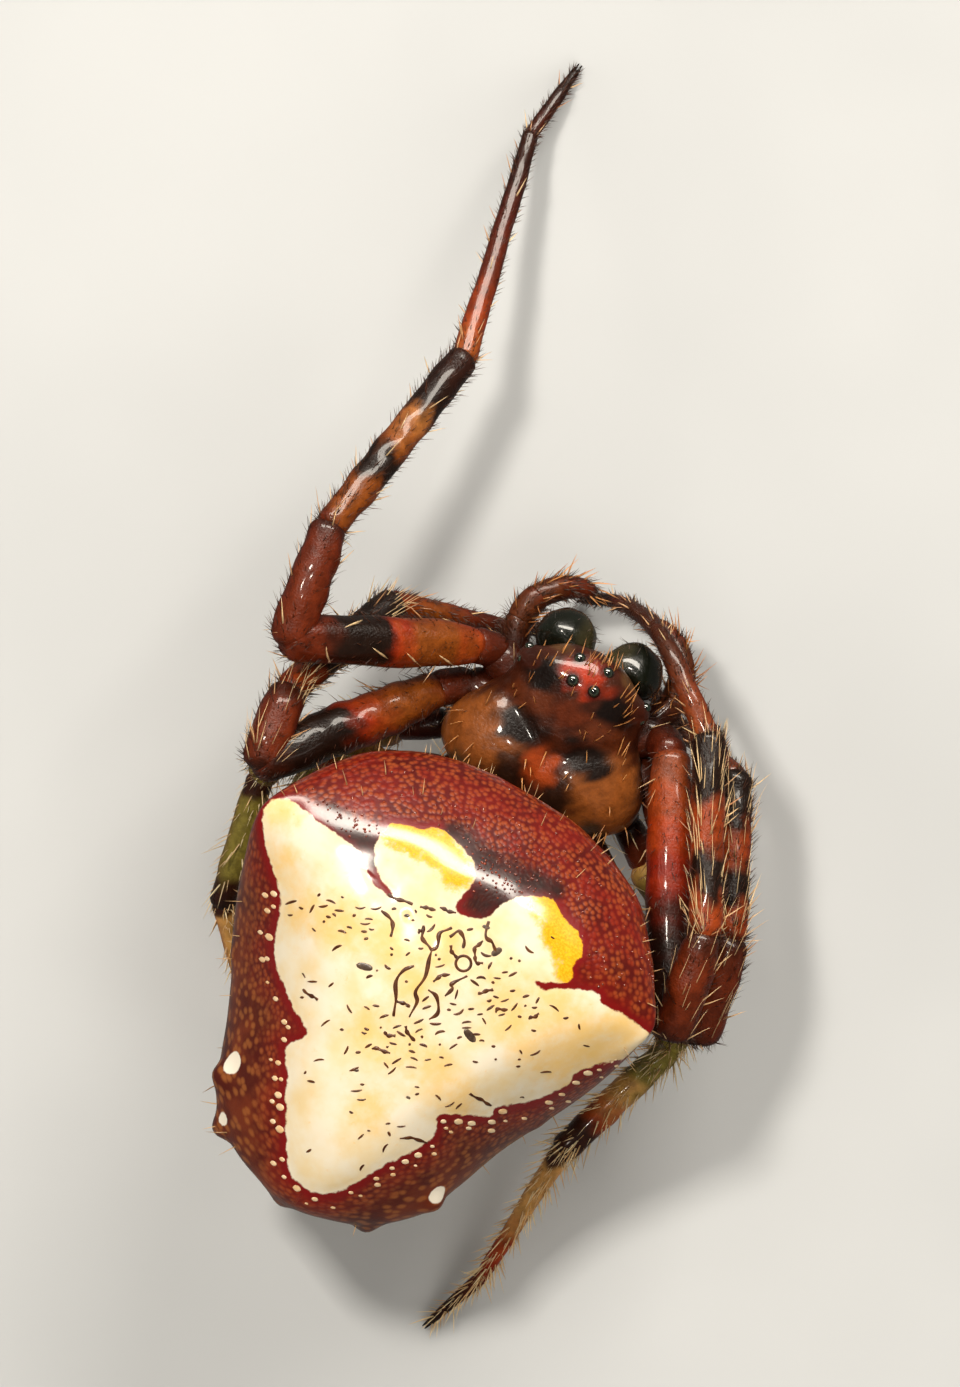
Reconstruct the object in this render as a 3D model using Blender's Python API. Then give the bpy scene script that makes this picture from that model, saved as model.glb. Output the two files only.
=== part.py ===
"""A female triangle orb weaver at life size, as a still model standing on the floor.

Lengths are written in millimetres and become metres in mesh_object().
X is the spider's right, Y is the way it faces, Z is up, and the floor is Z = 0.
The origin lies under the middle of the whole animal, on the floor.
"""

import math

import bmesh
import bpy
import numpy as np
from mathutils import Vector
from mathutils.bvhtree import BVHTree

MM = 0.001

# Gaps between pieces
JOINT_GAP = 0.2
EYE_GAP = 0.025

# Size and turn of the body
CARAPACE_WIDTH = 2.71
ABDOMEN_YAW = math.radians(-2.0)
ABDOMEN_CENTRE = (0.0, -3.4)

# Sides of the round limbs and the spacing of their rings
LIMB_SIDES = 12
FOOT_SIDES = 10
RING_STEP = 0.42

# Carapace and breast as sections from the waist to the face:
# place along Y, half width as a share of the whole, top, widest height, bottom
CARAPACE_SECTIONS = (
    (-1.30, 0.00, 1.80, 1.75, 1.70),
    (-1.22, 0.25, 1.98, 1.72, 1.42),
    (-1.05, 0.66, 2.20, 1.70, 1.25),
    (-0.82, 0.92, 2.36, 1.70, 1.15),
    (-0.56, 1.00, 2.44, 1.70, 1.10),
    (-0.25, 0.96, 2.46, 1.72, 1.08),
    (0.05, 0.82, 2.52, 1.78, 1.10),
    (0.35, 0.69, 2.62, 1.90, 1.25),
    (0.62, 0.63, 2.66, 2.05, 1.55),
    (0.85, 0.46, 2.60, 2.15, 1.80),
    (1.01, 0.27, 2.47, 2.20, 1.95),
    (1.08, 0.00, 2.24, 2.22, 2.20),
)

# Rings of the abdomen, right half from the front to the rear: across, along, height.
# Each ring is mirrored and closed, and the surface runs through them from top to belly.
TOP_POLE = (0.0, -3.4, 4.85)
UPPER_RING = (
    (0.0, -2.55, 4.80),
    (1.0, -2.70, 4.76),
    (1.5, -3.05, 4.70),
    (0.95, -3.9, 4.70),
    (0.5, -4.9, 4.60),
    (0.0, -5.4, 4.52),
)
CREST_RING = (
    (0.0, -1.90, 4.55),
    (1.1, -2.00, 4.55),
    (2.05, -2.32, 4.45),
    (2.58, -2.74, 4.28),
    (2.08, -3.35, 4.35),
    (1.52, -4.10, 4.38),
    (1.08, -4.90, 4.30),
    (0.74, -5.65, 4.20),
    (0.42, -6.20, 4.12),
    (0.0, -6.45, 4.08),
)
GIRTH_RING = (
    (0.0, -0.90, 3.45),
    (1.0, -1.00, 3.45),
    (1.9, -1.40, 3.50),
    (2.5, -2.12, 3.65),
    (2.74, -2.76, 3.80),
    (2.66, -3.35, 3.40),
    (2.38, -4.10, 3.00),
    (1.98, -4.90, 2.90),
    (1.70, -5.60, 2.95),
    (1.40, -6.22, 3.05),
    (0.78, -6.66, 3.15),
    (0.0, -6.82, 3.20),
)
BELLY_RING = (
    (0.0, -1.62, 2.10),
    (0.9, -1.75, 2.05),
    (1.55, -2.30, 1.85),
    (1.75, -3.20, 1.65),
    (1.45, -4.20, 1.60),
    (1.05, -5.00, 1.70),
    (0.60, -5.45, 1.85),
    (0.0, -5.60, 1.90),
)
BELLY_POLE = (0.0, -3.4, 1.02)

# Shift of each ring across, from the top one down, for the slight roll of the abdomen
ROLL_SHIFT = (0.0, 0.0, -0.10, -0.10)
ABDOMEN_AROUND = 44
ABDOMEN_DOWN = 22

# Warts on the flanks and the rear of the abdomen: place, half thickness, height
WARTS = (
    ((-2.45, -4.48, 3.10), 0.20, 0.11),
    ((-1.66, -5.78, 3.20), 0.24, 0.16),
    ((-1.45, -6.40, 2.95), 0.26, 0.22),
    ((-0.35, -6.87, 3.05), 0.28, 0.20),
    ((0.73, -6.62, 2.95), 0.26, 0.18),
    ((1.28, -5.95, 3.25), 0.24, 0.13),
    ((2.20, -4.60, 3.10), 0.20, 0.09),
)
WART_ROOT = 0.25

# Waist and spinnerets
WAIST_START = (0.0, -1.95, 2.05)
WAIST_END = (0.0, -1.20, 1.72)
WAIST_RADIUS = 0.25
SPINNERET_BASE = (0.0, -4.85, 1.55)
SPINNERET_REACH = 0.62

# Jaws: half spacing, place along Y at the top and bottom, heights, radii
JAW_STATIONS = (
    (0.46, 0.76, 1.86, 0.28),
    (0.47, 1.02, 1.66, 0.385),
    (0.45, 1.04, 1.34, 0.33),
    (0.41, 1.02, 1.08, 0.235),
)

# Palps, right side: across, along, height, radius
PALP_STATIONS = (
    (0.82, 0.40, 1.18, 0.19),
    (1.07, 0.84, 1.22, 0.21),
    (1.05, 1.27, 1.24, 0.21),
    (0.82, 1.56, 1.12, 0.19),
    (0.56, 1.69, 1.00, 0.17),
    (0.42, 1.70, 0.94, 0.12),
)

# Eyes, right side: across, along, radius. The first two pairs look up from the middle
# of the head, and the last two sit together on a wart at each side.
FRONT_EYE = (0.20, 0.90, 0.080)
BACK_EYE = (0.15, 0.60, 0.085)
SIDE_EYES = (
    (0.80, 0.70, 2.17, 0.066),
    (0.82, 0.56, 2.19, 0.066),
)
SIDE_EYE_WART = (0.74, 0.62, 2.12, 0.17)
EYE_SINK = 0.25

# Legs: the line of each length, from the hip to the tip of the foot. The tibia's line
# starts at the knee and holds the patella, and the foot's holds its long and short joint.
LEGS = {
    "left_1": {
        "femur": ((-1.14, 0.48, 1.74), (-1.44, 0.44, 2.02), (-3.50, -0.58, 3.25)),
        "tibia": ((-3.56, -0.58, 3.32), (-3.73, 0.90, 3.25), (-3.23, 3.54, 1.95)),
        "foot": ((-3.23, 3.54, 1.92), (-3.80, 6.43, 0.55), (-3.67, 7.42, 0.07)),
    },
    "left_2": {
        "femur": ((-1.30, -0.04, 1.60), (-1.60, -0.30, 1.82), (-3.08, -2.10, 2.88)),
        "tibia": ((-3.18, -2.15, 2.98), (-3.24, -1.15, 2.70), (-2.60, 0.42, 1.45)),
        "foot": ((-2.58, 0.44, 1.42), (-1.10, 0.84, 0.48), (-0.50, 1.15, 0.07)),
    },
    "left_3": {
        "femur": ((-1.32, -0.62, 1.38), (-1.80, -0.90, 1.24), (-2.45, -1.20, 1.02)),
        "tibia": ((-2.47, -1.26, 1.00), (-2.50, -2.00, 0.82), (-2.42, -2.90, 0.55)),
        "foot": ((-2.41, -2.93, 0.54), (-2.10, -3.65, 0.28), (-1.80, -4.15, 0.07)),
    },
    "left_4": {
        "femur": ((-1.02, -1.14, 1.45), (-1.80, -1.45, 1.62), (-2.95, -1.68, 1.78)),
        "tibia": ((-2.98, -1.72, 1.80), (-3.04, -2.30, 1.78), (-2.73, -3.92, 1.10)),
        "foot": ((-2.72, -3.95, 1.08), (-1.70, -5.05, 0.36), (-1.20, -5.60, 0.07)),
    },
    "right_1": {
        "femur": ((1.14, 0.48, 1.74), (1.38, 0.34, 2.20), (2.94, -2.70, 2.62)),
        "tibia": ((3.04, -2.74, 3.00), (2.80, -1.45, 3.15), (1.69, 0.76, 2.48)),
        "foot": (
            (1.67, 0.80, 2.46),
            (1.14, 1.19, 2.34),
            (0.73, 1.51, 2.12),
            (0.38, 1.70, 1.56),
            (0.06, 1.76, 1.02),
            (-0.24, 1.70, 0.50),
            (-0.52, 1.56, 0.07),
        ),
    },
    "right_2": {
        "femur": ((1.34, -0.05, 1.58), (1.82, -0.56, 1.68), (3.26, -2.58, 1.78)),
        "tibia": ((3.37, -2.60, 2.02), (3.12, -1.36, 2.32), (2.22, 0.48, 1.72)),
        "foot": ((2.20, 0.51, 1.70), (1.16, 0.76, 0.50), (0.66, 1.08, 0.07)),
    },
    "right_3": {
        "femur": ((1.30, -0.68, 1.30), (1.72, -1.00, 1.06), (2.28, -1.30, 0.88)),
        "tibia": ((2.32, -1.27, 0.90), (2.42, -0.70, 0.80), (2.36, 0.05, 0.60)),
        "foot": ((2.35, 0.08, 0.58), (2.05, 0.55, 0.30), (1.78, 0.88, 0.07)),
    },
    "right_4": {
        "femur": ((1.02, -1.14, 1.40), (1.75, -1.70, 1.28), (2.82, -2.20, 1.15)),
        "tibia": ((2.86, -2.24, 1.15), (3.08, -2.90, 1.24), (2.48, -4.66, 1.18)),
        "foot": ((2.48, -4.69, 1.16), (2.32, -6.58, 0.48), (2.01, -7.38, 0.07)),
    },
}

# Half thickness along each length of leg, from its start to its end, for the first
# pair. The others are slimmer by LEG_GIRTH.
FEMUR_RADII = (0.25, 0.31, 0.26)
TIBIA_RADII = (0.26, 0.27, 0.23)
FOOT_RADII = (0.22, 0.18, 0.10)
LEG_GIRTH = {"1": 1.0, "2": 1.0, "3": 0.88, "4": 0.90}
COXA_RADIUS = 0.25
COXA_START = 0.45

COLOURS = {
    "abdomen": ((0.32, 0.07, 0.03), 0.35),
    "spinnerets": ((0.16, 0.07, 0.03), 0.5),
    "cephalothorax": ((0.22, 0.09, 0.04), 0.3),
    "jaw": ((0.02, 0.03, 0.02), 0.25),
    "palp": ((0.25, 0.09, 0.04), 0.4),
    "eye": ((0.02, 0.02, 0.02), 0.05),
    "femur": ((0.40, 0.12, 0.04), 0.35),
    "tibia": ((0.16, 0.05, 0.03), 0.35),
    "foot": ((0.12, 0.05, 0.03), 0.45),
}


def finish(kind, name):
    """A plain material for a piece, in the colour of its kind."""
    colour, roughness = COLOURS[kind]
    material = bpy.data.materials.new(name)
    material.use_nodes = True
    surface = material.node_tree.nodes["Principled BSDF"]
    surface.inputs["Base Color"].default_value = (*colour, 1.0)
    surface.inputs["Roughness"].default_value = roughness
    surface.inputs["Metallic"].default_value = 0.0
    return material


def mesh_object(name, points, faces):
    """A mesh object from points in millimetres, with its faces turned outwards."""
    mesh = bpy.data.meshes.new(name)
    mesh.from_pydata([tuple(p) for p in np.asarray(points) * MM], [], faces)
    work = bmesh.new()
    work.from_mesh(mesh)
    bmesh.ops.recalc_face_normals(work, faces=work.faces)
    work.to_mesh(mesh)
    work.free()
    mesh.shade_smooth()
    piece = bpy.data.objects.new(name, mesh)
    bpy.context.scene.collection.objects.link(piece)
    return piece


def curve_through(points, count, closed=False):
    """Points evenly spread over a Catmull-Rom curve through the given points."""
    points = np.asarray(points, float)
    if closed:
        before, after = points[-1:], points[:2]
    else:
        before = 2 * points[:1] - points[1:2]
        after = 2 * points[-1:] - points[-2:-1]
    knots = np.concatenate([before, points, after])
    spans = len(points) if closed else len(points) - 1
    place = np.linspace(0, spans, count, endpoint=not closed)
    index = np.minimum(place.astype(int), spans - 1)
    t = (place - index)[:, None]
    a, b, c, d = (knots[index + k] for k in range(4))
    return 0.5 * (
        2 * b + (c - a) * t + (2 * a - 5 * b + 4 * c - d) * t**2 + (3 * b - a - 3 * c + d) * t**3
    )


def closed_grid(name, rings, first_pole, last_pole):
    """A closed mesh from rings of equally many points and a pole at each end."""
    count, sides = rings.shape[:2]
    points = np.concatenate([rings.reshape(-1, 3), [first_pole, last_pole]])
    first, last = count * sides, count * sides + 1
    faces = []
    for k in range(sides):
        after = (k + 1) % sides
        faces.append((first, after, k))
        faces.append((last, (count - 1) * sides + k, (count - 1) * sides + after))
        for ring in range(count - 1):
            low, high = ring * sides, (ring + 1) * sides
            faces.append((low + k, low + after, high + after, high + k))
    return mesh_object(name, points, faces)


def limb(name, stations, sides=LIMB_SIDES, extra=0.0):
    """A round limb with domed ends through stations of (x, y, z, radius)."""
    stations = np.asarray(stations, float)
    length = np.linalg.norm(np.diff(stations[:, :3], axis=0), axis=1).sum()
    count = max(4, round(length / RING_STEP) + 1)
    path = curve_through(stations, count)
    centres, radii = path[:, :3], path[:, 3] + extra
    along = np.gradient(centres, axis=0)
    along /= np.linalg.norm(along, axis=1)[:, None]

    caps = np.radians((60.0, 30.0))
    start = [centres[0] - along[0] * radii[0] * math.sin(a) for a in caps]
    end = [centres[-1] + along[-1] * radii[-1] * math.sin(a) for a in caps[::-1]]
    centres = np.concatenate([start, centres, end])
    along = np.concatenate([[along[0]] * 2, along, [along[-1]] * 2])
    ring_radii = np.concatenate(
        [radii[0] * np.cos(caps), radii, radii[-1] * np.cos(caps[::-1])]
    )

    across = np.zeros_like(along)
    across[0] = Vector(along[0]).orthogonal().normalized()
    for k in range(1, len(along)):
        across[k] = across[k - 1] - along[k] * (across[k - 1] @ along[k])
        across[k] /= np.linalg.norm(across[k])
    upward = np.cross(along, across)
    turn = np.linspace(0, 2 * math.pi, sides, endpoint=False)
    rings = centres[:, None] + ring_radii[:, None, None] * (
        across[:, None] * np.cos(turn)[:, None] + upward[:, None] * np.sin(turn)[:, None]
    )
    tail = centres[2] - along[0] * radii[0]
    tip = centres[-3] + along[-1] * radii[-1]
    return closed_grid(name, rings, tail, tip)


def ball(name, centre, radii, sides=LIMB_SIDES, rings=5):
    """An ellipsoid as rings around an upright axis."""
    centre, radii = np.asarray(centre, float), np.asarray(radii, float)
    rise = np.linspace(-math.pi / 2, math.pi / 2, rings + 2)[1:-1]
    turn = np.linspace(0, 2 * math.pi, sides, endpoint=False)
    shape = np.stack(
        [
            np.cos(rise)[:, None] * np.cos(turn),
            np.cos(rise)[:, None] * np.sin(turn),
            np.sin(rise)[:, None] * np.ones(sides),
        ],
        axis=-1,
    )
    pole = np.array([0.0, 0.0, radii[2]])
    return closed_grid(name, centre + shape * radii, centre - pole, centre + pole)


def largest_surface(mesh):
    """Deletes all but the largest closed surface of a mesh."""
    work = bmesh.new()
    work.from_mesh(mesh)
    left, surfaces = set(work.verts), []
    while left:
        stack, surface = [left.pop()], []
        while stack:
            corner = stack.pop()
            surface.append(corner)
            near = {edge.other_vert(corner) for edge in corner.link_edges} & left
            left -= near
            stack.extend(near)
        surfaces.append(surface)
    surfaces.sort(key=len)
    for surface in surfaces[:-1]:
        bmesh.ops.delete(work, geom=surface, context="VERTS")
    bmesh.ops.triangulate(work, faces=work.faces)
    work.to_mesh(mesh)
    work.free()


def combine(piece, tools, operation):
    """One Boolean of a piece with a collection of tools, applied, and the tools removed."""
    group = bpy.data.collections.new("tools")
    for tool in tools:
        group.objects.link(tool)
    cut = piece.modifiers.new("boolean", "BOOLEAN")
    cut.operation = operation
    cut.operand_type = "COLLECTION"
    cut.collection = group
    cut.solver = "EXACT"
    graph = bpy.context.evaluated_depsgraph_get()
    mesh = bpy.data.meshes.new_from_object(piece.evaluated_get(graph))
    piece.modifiers.remove(cut)
    piece.data = mesh
    largest_surface(mesh)
    mesh.shade_smooth()
    for tool in tools:
        bpy.data.objects.remove(tool)
    bpy.data.collections.remove(group)


def stand_flat(piece):
    """Cuts a foot off at the floor, so that it stands on a small flat."""
    work = bmesh.new()
    work.from_mesh(piece.data)
    everything = work.verts[:] + work.edges[:] + work.faces[:]
    cut = bmesh.ops.bisect_plane(
        work, geom=everything, plane_co=(0, 0, 0), plane_no=(0, 0, 1), clear_inner=True
    )
    rim = [part for part in cut["geom_cut"] if isinstance(part, bmesh.types.BMEdge)]
    bmesh.ops.contextual_create(work, geom=rim)
    bmesh.ops.triangulate(work, faces=work.faces)
    bmesh.ops.recalc_face_normals(work, faces=work.faces)
    work.to_mesh(piece.data)
    work.free()
    piece.data.shade_smooth()


def mirrored(point, side):
    """A point or station of the right side, on the side that is named."""
    sign = 1 if side == "right" else -1
    return (sign * point[0], *point[1:])


def section_rings(sections, sides):
    """Rounded sections across the body, from (y, half width, top, middle, bottom)."""
    sections = np.asarray(sections, float)
    turn = np.linspace(0, 2 * math.pi, sides, endpoint=False)
    side, rise = np.cos(turn), np.sin(turn)
    y, half, top, middle, bottom = sections.T[..., None]
    x = half * side
    z = middle + np.where(rise > 0, (top - middle) * rise, (middle - bottom) * rise)
    return np.stack([x, y * np.ones(sides), z], axis=-1)


def carapace():
    """The head and thorax with the eight hips, its widths from one driving width."""
    sections = np.array(CARAPACE_SECTIONS)
    sections[:, 1] *= CARAPACE_WIDTH / 2
    rings = section_rings(sections[1:-1], 28)
    first = (0.0, sections[0, 0], sections[0, 3])
    last = (0.0, sections[-1, 0], sections[-1, 3])
    return closed_grid("cephalothorax", rings, first, last)


def ring_at(half_ring, turns):
    """A mirrored ring read at the given turns round the middle of the abdomen."""
    half = np.array(half_ring)
    other = half[-2:0:-1] * (-1, 1, 1)
    curve = curve_through(np.concatenate([half, other]), 720, closed=True)
    middle = np.array(ABDOMEN_CENTRE)
    away = curve[:, :2] - middle
    angle = np.arctan2(away[:, 0], away[:, 1]) % (2 * math.pi)
    order = np.argsort(angle)
    reach = np.linalg.norm(away, axis=1)[order]
    radius = np.interp(turns, angle[order], reach, period=2 * math.pi)
    height = np.interp(turns, angle[order], curve[order, 2], period=2 * math.pi)
    x = middle[0] + radius * np.sin(turns)
    y = middle[1] + radius * np.cos(turns)
    return np.stack([x, y, height], axis=-1)


def abdomen():
    """The triangular abdomen: meridians run from the top over its rings to the belly."""
    turns = np.linspace(0, 2 * math.pi, ABDOMEN_AROUND, endpoint=False)
    half_rings = (UPPER_RING, CREST_RING, GIRTH_RING, BELLY_RING)
    rings = [ring_at(r, turns) + (shift, 0, 0) for r, shift in zip(half_rings, ROLL_SHIFT)]
    top = np.broadcast_to(TOP_POLE, rings[0].shape)
    belly = np.broadcast_to(BELLY_POLE, rings[0].shape)
    half = ABDOMEN_AROUND // 2
    knots = np.stack(
        [np.roll(rings[0], half, 0), top, *rings, belly, np.roll(rings[-1], half, 0)]
    )
    spans = len(knots) - 3
    place = np.linspace(0, spans, ABDOMEN_DOWN + 1)[1:-1]
    index = place.astype(int)
    t = (place - index)[:, None, None]
    a, b, c, d = (knots[index + k] for k in range(4))
    surface = 0.5 * (
        2 * b + (c - a) * t + (2 * a - 5 * b + 4 * c - d) * t**2 + (3 * b - a - 3 * c + d) * t**3
    )
    piece = closed_grid("abdomen", surface, TOP_POLE, BELLY_POLE)
    cosine, sine = math.cos(ABDOMEN_YAW), math.sin(ABDOMEN_YAW)
    middle = Vector((*ABDOMEN_CENTRE, 0.0)) * MM
    for corner in piece.data.vertices:
        away = corner.co - middle
        corner.co.x = middle.x + away.x * cosine - away.y * sine
        corner.co.y = middle.y + away.x * sine + away.y * cosine
    return piece


def abdomen_with_warts():
    """The abdomen with its warts and the waist fused on."""
    body = abdomen()
    tree = BVHTree.FromObject(body, bpy.context.evaluated_depsgraph_get())
    warts = []
    for place, thick, height in WARTS:
        skin, facing, _, _ = tree.find_nearest(Vector(place) * MM)
        skin, facing = np.array(skin) / MM, np.array(facing)
        root, top = skin - facing * WART_ROOT, skin + facing * (height - thick * 0.5)
        warts.append(limb("wart", ((*root, thick * 1.3), (*top, thick * 0.6)), sides=10))
    waist = limb("waist", ((*WAIST_START, WAIST_RADIUS), (*WAIST_END, WAIST_RADIUS)))
    combine(body, [*warts, waist], "UNION")
    return body


def spinnerets(extra=0.0, name="spinnerets"):
    """A tight group of short cones behind the belly, on one base."""
    x, y, z = SPINNERET_BASE
    low = z - SPINNERET_REACH
    base = limb(name, ((x, y, z, 0.34 + extra), (x, y, z - 0.12, 0.32 + extra)))
    if extra:
        return base
    cones = [
        limb(
            f"cone_{side}_{pair}",
            (
                (side * 0.13, y + shift, z - 0.15, 0.17),
                (side * 0.10, y + shift * 1.3, low, 0.09),
            ),
            sides=10,
        )
        for side in (-1, 1)
        for pair, shift in enumerate((-0.17, 0.14))
    ]
    combine(base, cones, "UNION")
    return base


def leg_stations(leg, part, radii):
    """The stations of one length of a leg, with its half thickness at each."""
    joints = np.array(LEGS[leg][part])
    steps = np.linalg.norm(np.diff(joints, axis=0), axis=1)
    share = np.concatenate([[0], np.cumsum(steps)]) / steps.sum()
    girth = LEG_GIRTH[leg[-1]]
    thick = np.interp(share, np.linspace(0, 1, len(radii)), radii) * girth
    return np.column_stack([joints, thick])


def leg(name):
    """The three lengths of one leg, each hollowed where the next one sits in it."""
    upper = leg_stations(name, "femur", FEMUR_RADII)
    middle = leg_stations(name, "tibia", TIBIA_RADII)
    lower = leg_stations(name, "foot", FOOT_RADII)
    femur = limb(f"leg_{name}_femur", upper)
    tibia = limb(f"leg_{name}_tibia", middle)
    foot = limb(f"leg_{name}_foot", lower, sides=FOOT_SIDES)
    combine(femur, [limb("knee_room", middle, extra=JOINT_GAP)], "DIFFERENCE")
    combine(tibia, [limb("ankle_room", lower, extra=JOINT_GAP)], "DIFFERENCE")
    stand_flat(foot)
    for piece, kind in ((femur, "femur"), (tibia, "tibia"), (foot, "foot")):
        piece.data.materials.append(finish(kind, piece.name))
    return limb("hip_room", upper, extra=JOINT_GAP)


def coxa(name):
    """The hip of one leg, from inside the breast to the start of the leg."""
    hip = np.array(LEGS[name]["femur"][0])
    root = hip * (COXA_START, 0.55, 1.0) + (0.0, -0.1, 0.0)
    return limb(f"coxa_{name}", ((*root, COXA_RADIUS), (*hip, COXA_RADIUS)))


def surface_above(tree, x, y):
    """Where a line down from above meets the head, and the way the skin faces there."""
    place, normal, _, _ = tree.ray_cast(Vector((x * MM, y * MM, 5 * MM)), Vector((0, 0, -1)))
    return np.array(place) / MM, np.array(normal)


def eyes(head):
    """Eight eyes as small balls sunk in the head, and the room that each one needs."""
    graph = bpy.context.evaluated_depsgraph_get()
    tree = BVHTree.FromObject(head, graph)
    places = {}
    for side in ("left", "right"):
        for name, (x, y, radius) in (("front", FRONT_EYE), ("back", BACK_EYE)):
            x, y = mirrored((x, y), side)
            skin, facing = surface_above(tree, x, y)
            places[f"eye_{name}_{side}"] = (skin - facing * radius * EYE_SINK, radius)
        for name, (*spot, radius) in zip(("side_front", "side_back"), SIDE_EYES):
            skin, facing, _, _ = tree.find_nearest(Vector(mirrored(spot, side)) * MM)
            centre = np.array(skin) / MM - np.array(facing) * radius * EYE_SINK
            places[f"eye_{name}_{side}"] = (centre, radius)
    rooms = []
    for name, (centre, radius) in places.items():
        eye = ball(name, centre, [radius] * 3, sides=12, rings=5)
        eye.data.materials.append(finish("eye", name))
        rooms.append(ball("eye_room", centre, [radius + EYE_GAP] * 3, sides=12, rings=5))
    return rooms


def jaw(side, extra=0.0):
    """One of the two stout jaws under the face."""
    stations = [(*mirrored(s[:3], side), s[3] + extra) for s in JAW_STATIONS]
    return limb(f"chelicera_{side}", stations)


def palp(side, extra=0.0):
    """One palp, curved round in front of the jaws."""
    stations = [(*mirrored(s[:3], side), s[3] + extra) for s in PALP_STATIONS]
    return limb(f"palp_{side}", stations, sides=FOOT_SIDES)


def build():
    """The whole spider, each piece an object of its own."""
    for old in list(bpy.data.objects):
        bpy.data.objects.remove(old)

    belly = abdomen_with_warts()
    combine(belly, [spinnerets(JOINT_GAP, "spinneret_room")], "DIFFERENCE")
    belly.data.materials.append(finish("abdomen", "abdomen"))
    spinners = spinnerets()
    spinners.data.materials.append(finish("spinnerets", "spinnerets"))

    head = carapace()
    additions = [coxa(name) for name in LEGS]
    for side in ("left", "right"):
        x, y, z = mirrored(SIDE_EYE_WART[:3], side)
        radius = SIDE_EYE_WART[3]
        additions.append(ball(f"eye_wart_{side}", (x, y, z), [radius] * 3, sides=12))
    combine(head, additions, "UNION")

    rooms = [leg(name) for name in LEGS]
    rooms.extend(eyes(head))
    for side in ("left", "right"):
        rooms.append(jaw(side, JOINT_GAP))
        rooms.append(palp(side, JOINT_GAP))
    rooms.append(
        limb(
            "waist_room",
            (
                (*WAIST_START, WAIST_RADIUS + JOINT_GAP),
                (*WAIST_END, WAIST_RADIUS + JOINT_GAP),
            ),
        )
    )
    combine(head, rooms, "DIFFERENCE")
    head.data.materials.append(finish("cephalothorax", "cephalothorax"))
    for side in ("left", "right"):
        for piece, kind in ((jaw(side), "jaw"), (palp(side), "palp")):
            piece.data.materials.append(finish(kind, piece.name))


build()
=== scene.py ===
"""Looks of a female triangle orb weaver at life size, around its solid model.

Lengths are millimetres here, and mesh_object() makes them metres. X is the spider's
right, Y the way it faces, Z up from the floor. Shares along or around a form run 0 to 1.
"""

import math

import bpy
import numpy as np
from mathutils import Euler, Matrix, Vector
from mathutils.bvhtree import BVHTree


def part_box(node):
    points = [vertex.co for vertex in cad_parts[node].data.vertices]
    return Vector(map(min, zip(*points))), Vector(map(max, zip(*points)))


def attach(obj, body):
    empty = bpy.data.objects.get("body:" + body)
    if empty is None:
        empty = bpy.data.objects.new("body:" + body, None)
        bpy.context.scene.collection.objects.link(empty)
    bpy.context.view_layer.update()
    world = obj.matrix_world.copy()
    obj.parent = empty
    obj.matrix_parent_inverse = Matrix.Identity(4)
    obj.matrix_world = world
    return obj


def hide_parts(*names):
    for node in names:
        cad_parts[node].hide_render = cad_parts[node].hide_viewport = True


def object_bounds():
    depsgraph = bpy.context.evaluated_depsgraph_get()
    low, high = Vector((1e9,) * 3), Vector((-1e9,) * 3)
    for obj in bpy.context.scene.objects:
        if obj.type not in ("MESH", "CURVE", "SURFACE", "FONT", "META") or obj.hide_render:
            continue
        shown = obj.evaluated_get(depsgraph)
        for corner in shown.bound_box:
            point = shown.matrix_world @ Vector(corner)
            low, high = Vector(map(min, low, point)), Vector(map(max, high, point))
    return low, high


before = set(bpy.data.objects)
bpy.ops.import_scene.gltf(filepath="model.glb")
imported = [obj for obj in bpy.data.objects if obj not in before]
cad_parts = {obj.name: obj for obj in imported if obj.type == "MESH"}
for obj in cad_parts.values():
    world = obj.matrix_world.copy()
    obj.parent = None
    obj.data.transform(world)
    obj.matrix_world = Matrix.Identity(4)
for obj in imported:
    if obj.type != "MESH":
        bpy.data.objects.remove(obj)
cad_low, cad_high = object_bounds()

MM = 0.001

# The view: the middle of the picture on the floor plan, its turn, its height in
# millimetres, and the level and distance at which that height is seen
VIEW_CENTRE = (-1.10, -0.08)
VIEW_TURN = math.radians(27.72)
VIEW_TALL = 17.34
VIEW_LEVEL = 2.75
CAMERA_DISTANCE = 480.0
SENSOR = 36.0
LIGHT_COLOUR = (1.0, 0.93, 0.82)
SURROUND = (1.0, 0.94, 0.84, 1.0)
FLOOR_HALF = 400.0

# Abdomen: rings of its right half from front to rear, as across, along, height
ABDOMEN_CENTRE = (0.0, -3.4)
ABDOMEN_YAW = math.radians(-2.0)
TOP_POLE = (0.0, -3.4, 4.85)
ROLL_SHIFT = (0.0, 0.0, -0.10, -0.10)
UPPER_RING = (
    (0.0, -2.55, 4.80), (1.0, -2.70, 4.76), (1.5, -3.05, 4.70), (0.95, -3.9, 4.70), (0.5, -4.9, 4.60),
    (0.0, -5.4, 4.52),
)
CREST_RING = (
    (0.0, -1.90, 4.55), (1.1, -2.00, 4.55), (2.05, -2.32, 4.45), (2.58, -2.74, 4.28),
    (2.08, -3.35, 4.35), (1.52, -4.10, 4.38), (1.08, -4.90, 4.30), (0.74, -5.65, 4.20),
    (0.42, -6.20, 4.12), (0.0, -6.45, 4.08),
)
GIRTH_RING = (
    (0.0, -0.90, 3.45), (1.0, -1.00, 3.45), (1.9, -1.40, 3.50), (2.5, -2.12, 3.65), (2.74, -2.76, 3.80),
    (2.66, -3.35, 3.40), (2.38, -4.10, 3.00), (1.98, -4.90, 2.90), (1.70, -5.60, 2.95),
    (1.40, -6.22, 3.05), (0.78, -6.66, 3.15), (0.0, -6.82, 3.20),
)
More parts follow.
